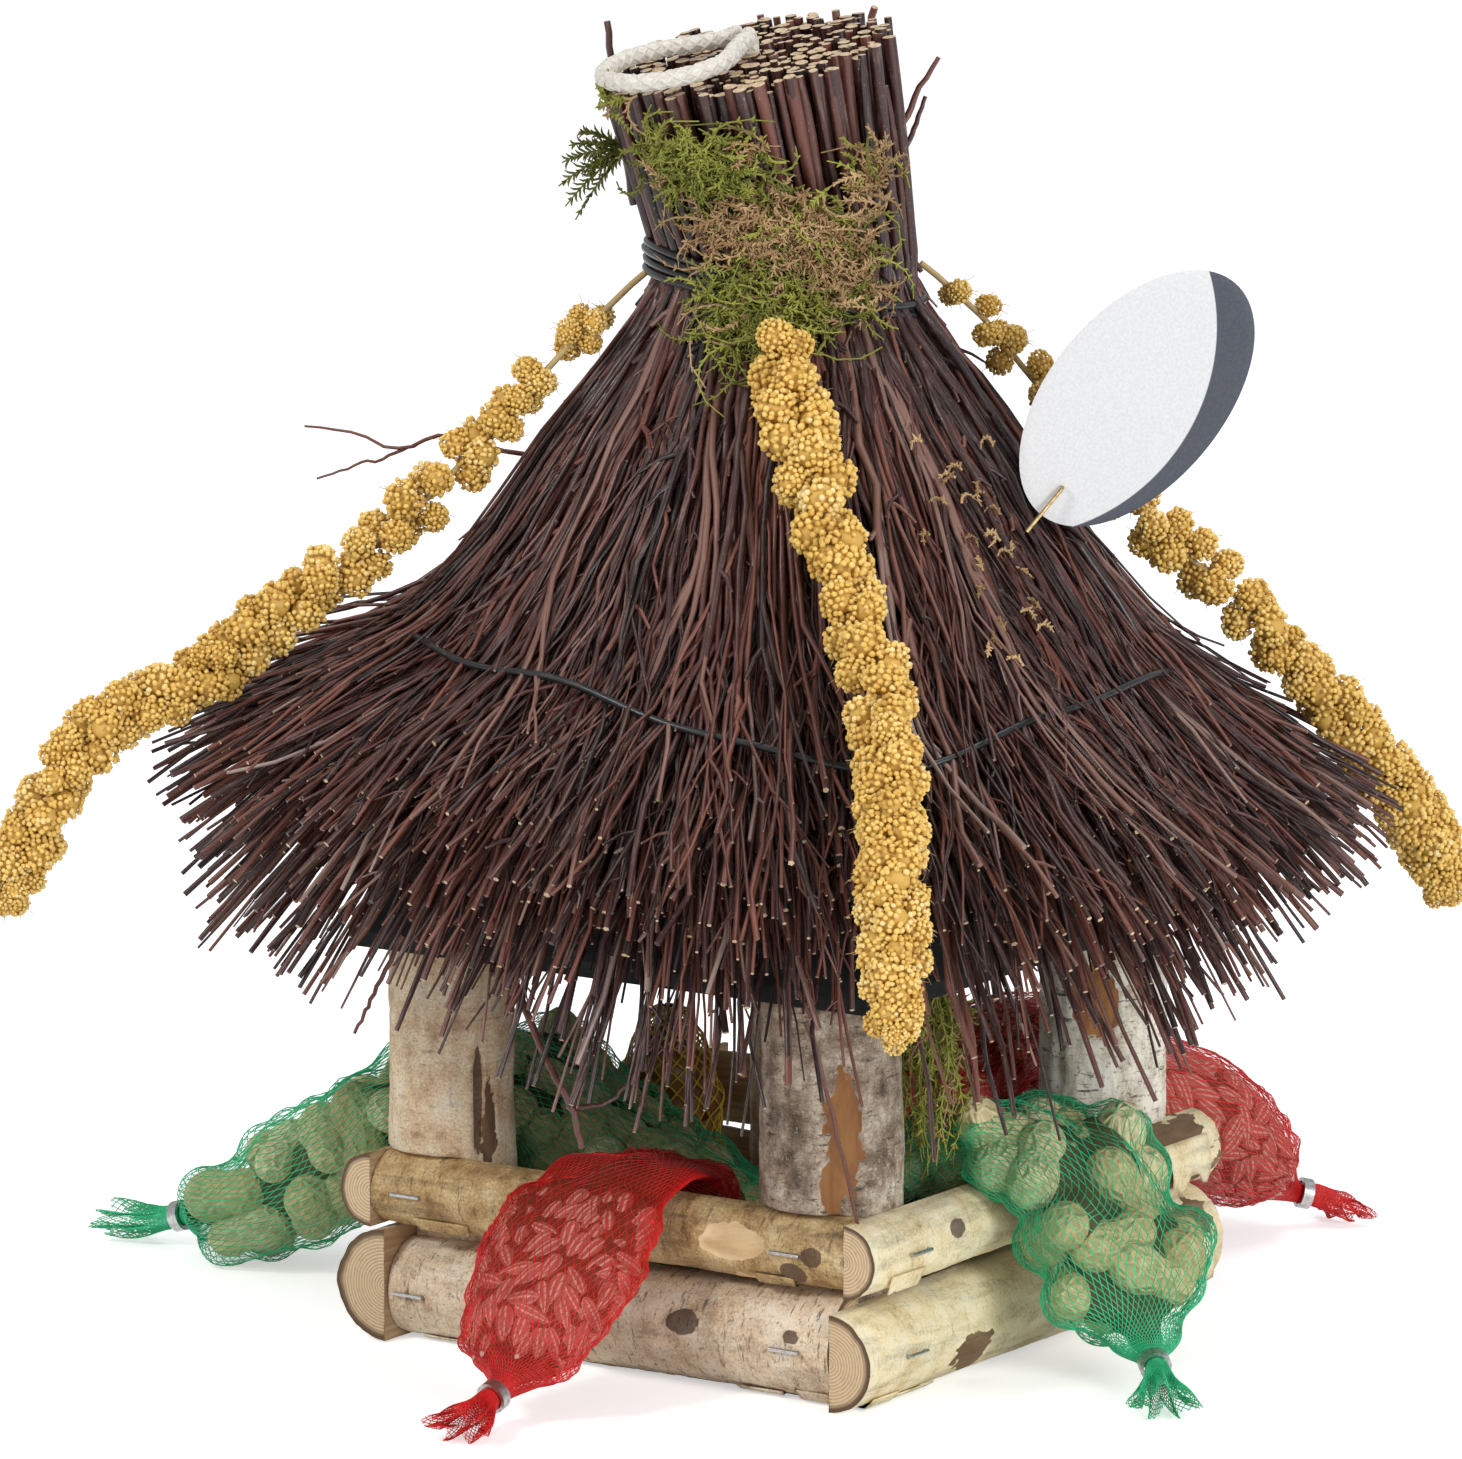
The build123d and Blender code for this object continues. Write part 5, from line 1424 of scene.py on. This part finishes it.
def yellow_bag():
    """Bag of nuts that stands inside; its rows are height, half width and half depth."""
    rows = ((0.4, 12, 10), (14, 16, 17), (38, 17, 18.5), (58, 15, 16), (70, 8, 8), (76, 3, 3))
    bag = Bag([(-62, -30 - OUTER, FLOOR_TOP + up, a, b) for up, a, b in rows])
    bag.ahead[:], bag.across[:], bag.up[:] = (0, 0, 1), (1, 0, 0), (0, 1, 0)
    centres, frames, beads = bag.pack("nut", 4, 138, 500)
    nut, radius = CONTENTS["nut"][0], CONTENTS["nut"][3]
    ray, far = bag.draped(beads, radius)
    shape = Shape()
    placed(shape, *nut, centres, frames, 1.0, 0, rng.random(len(centres)))
    # Dark shell inside the nuts: painted shade for the bag's shadowed inside.
    painted_shade_core = bag.line[:, None] + ray * (0.6 * far)[..., None]
    shape.add(painted_shade_core, grid_faces(BAG_STEPS, BAG_SIDES, True), 1)
    dress(shape, "fill_yellow", ["nut", "fill_painted_shade"], "feeder", "net_yellow", "bag_yellow")
    shape = Shape()
    net_threads(shape, bag.line[:, None] + ray * far[..., None], 20, 0.9, 0.32, 4)
    dress(shape, "net_yellow_bag", ["net_yellow"], "feeder", "net_yellow", "bag_yellow")


# Moss

def moss_strands(shape, routes, tone, slot, leaf=3.0, per=9):
    """Feathery strands: a thin stem with short side shoots."""
    k, n = routes.shape[:2]
    tubes(shape, routes, np.linspace(0.5, 0.26, n)[None], 3, slot=slot, tone=tone, caps=(None, None))
    ahead = unit(np.gradient(routes, axis=1))
    for j in range(per):
        place = (0.12 + 0.84 * j / per) * (n - 1)
        low = min(int(place), n - 2)
        base = routes[:, low] + (place - low) * (routes[:, low + 1] - routes[:, low])
        side = unit(np.cross(ahead[:, low], rng.normal(size=(k, 3))))
        for way in (-1, 1):
            reach = leaf * rng.uniform(0.5, 1.1, (k, 1)) * (1 - 0.5 * j / per)
            tip = base + reach * unit(0.8 * ahead[:, low] + way * side)
            bend = (base + tip) / 2 + 0.15 * reach * ahead[:, low]
            shoot, radii = np.stack([base, bend, tip], 1), np.array([0.42, 0.42, 0.12])
            tubes(shape, shoot, radii, 3, slot=slot, tone=tone, caps=(None, None))


MOSS_PATCHES = [  # sideways and height of the middle, half sizes, share of brown, strands
    (-18, 355, 15, 8, 0.08, 190), (1, 334, 19, 12, 0.85, 260), (-7, 313, 14, 12, 0.12, 200),
    (18, 324, 9, 15, 0.7, 90), (29, 350, 4, 10, 0.7, 30), (-44, 372, 4, 4, 0.1, 10),
]


def facing(sideways, radius, z):
    """Point on the side that faces the picture's viewpoint, so far round from its middle."""
    return polar(TO_VIEWER + np.degrees(1.1 * sideways / radius), radius, z)


MOSS_STEPS = 8


def moss_collar():
    """Moss round the neck, a sprig on its left and dry wisps on the roof."""
    shape = Shape()
    s = np.linspace(0, 1, MOSS_STEPS)[None, :]
    for sideways, z0, half_side, half_z, brown, n in MOSS_PATCHES:
        spread = np.clip(rng.normal(size=(n, 2, 1)) * 0.5, -1, 1)
        length, way = rng.uniform(9, 20, (n, 1)), rng.uniform(0, 6.3, (n, 1))
        curl = rng.normal(size=(n, 1)) * 1.6
        bend = way + curl * s
        x = sideways + half_side * spread[:, 0] + length * (np.cos(bend) * s - 0.5 * np.cos(way))
        z = z0 + half_z * spread[:, 1] + 0.7 * length * (np.sin(bend) * s - 0.5 * np.sin(way))
        z = z - 0.25 * length * s
        under = np.interp(z, [255, 285, 302, 330, 390], [84, 60, 45.5, 43.5, 44])
        r = under + rng.uniform(0, 3.5, (n, 1)) + rng.uniform(0, 5, (n, 1)) * np.sin(math.pi * s)
        routes = leaned(facing(x, r, z), z)
        dry = rng.random(n) < brown
        for pick, slot in ((~dry, 0), (dry, 1)):
            if pick.any():
                moss_strands(shape, routes[pick], rng.random(pick.sum()), slot)
    leaf = np.linspace(0, 1, MOSS_STEPS)
    spread = ((17, 9), (19, 4), (20, -3), (18, -9), (14, 13), (15, -13), (12, 0))  # out and up
    sprig = [polar(np.full(MOSS_STEPS, -142.0), 40.5 + out * leaf, 352 + up * leaf - 7 * leaf ** 2)
             for out, up in spread]
    moss_strands(shape, np.array(sprig) - [2.9, 6.6, 0], np.zeros(len(sprig)), 0, 5.5, 12)
    n = 26
    azimuth, share = rng.normal(-12, 7, (n, 1)), rng.normal(0.52, 0.08, (n, 1))
    far, height = thatch(np.ones((n, 1)), share)
    around = rng.uniform(0, 6.3, (n, 1)) + rng.normal(size=(n, 1)) * s
    out = far + 2.0 + 0.55 * 6 * np.cos(around) * s
    height = height + 2.5 - 0.85 * (out - far - 2.0) + 1.5 * np.sin(math.pi * s)
    wisps = polar(azimuth + np.degrees(6 * np.sin(around) * s / far), out, height)
    moss_strands(shape, wisps, rng.random(n), 1, 2.2, 5)
    dress(shape, "moss_round_crown", ["moss", "moss_brown"], "feeder", "moss", "moss_collar")


def moss_tuft():
    """Moss that hangs beside the near post."""
    shape = Shape()
    s = np.linspace(0, 1, MOSS_STEPS)[None, :]
    n = 64
    start = np.array([78.0, -42.0, 117.0]) + rng.normal(size=(n, 1, 3)) * [3.5, 3.5, 0.0]
    fall = rng.uniform(16, 58, (n, 1))
    swing = np.clip(rng.normal(size=(n, 2, 1)) * 6, -10, 10)
    z = start[..., 2] - fall * s
    x = start[..., 0] + swing[:, 0] * np.sin(2.4 * s) + 1.2 * np.sin(9 * s + fall)
    y = start[..., 1] + swing[:, 1] * np.sin(2.4 * s) + 1.2 * np.cos(8 * s + fall)
    dry = rng.random(n) < 0.2
    routes = np.stack([x, y, z], -1)
    for pick, slot in ((~dry, 0), (dry, 1)):
        moss_strands(shape, routes[pick], 0.3 + 0.7 * rng.random(pick.sum()), slot, 4.5, 12)
    dress(shape, "moss_hanging", ["moss", "moss_brown"], "feeder", "moss", "moss_tuft")


# Tag

HOLE_TO_MIDDLE = 34  # of the tag


def tag():
    """Bare oval card, a little bowed."""
    hole = np.array([91.64, 8.5, 258.4])
    x, z = np.array([0.4255, 0.51303, 0.74548]), np.array([0.65038, -0.74617, 0.14228])
    y = np.cross(z, x)
    centre = hole + HOLE_TO_MIDDLE * x
    rings = np.linspace(0.001, 1, 26)[:, None]
    a = np.linspace(0, 2 * math.pi, 96, endpoint=False)[None, :]
    u, v = 44 * rings * np.cos(a), 25.5 * rings * np.sin(a)
    bow = 0.0009 * (u + HOLE_TO_MIDDLE) ** 2 - 0.0012 * v ** 2
    shape = Shape()
    for side in (1, -1):
        lift = bow + 0.4 * side * np.where(rings > 0.995, 0.0, 1.0)
        points = centre + u[..., None] * x + v[..., None] * y + lift[..., None] * z
        faces = grid_faces(26, 96, True)
        loc = np.stack([u, v, np.full_like(u, side)], -1)
        shape.add(points, faces if side > 0 else faces[:, ::-1], 0, loc=loc)
    dress(shape, "tag_card", ["card"], "tag", "card", "tag")


# Everything in place

FINISHES = {  # how the names of CAD nodes that stay in view begin, and their looks
    "floor_board": "board", "roof_board": "black_board", "roof_panel": "black_board",
    "floor_nails": "steel", "roof_nails": "steel", "frame_staples": "steel", "bag_clip": "steel",
    "tag_wire": "brass",
}
for name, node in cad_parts.items():
    for prefix, look in FINISHES.items():
        if name.startswith(prefix):
            node.data.materials.clear()
            node.data.materials.append(LOOKS[look])

hanging_cord()
for row in LOGS:
    half_log(*row)
for row in POSTS:
    post(*row)
roof()
for name in SPRAYS:
    spray(name)
for row in BAGS:
    wall_bag(*row)
yellow_bag()
moss_collar()
moss_tuft()
tag()
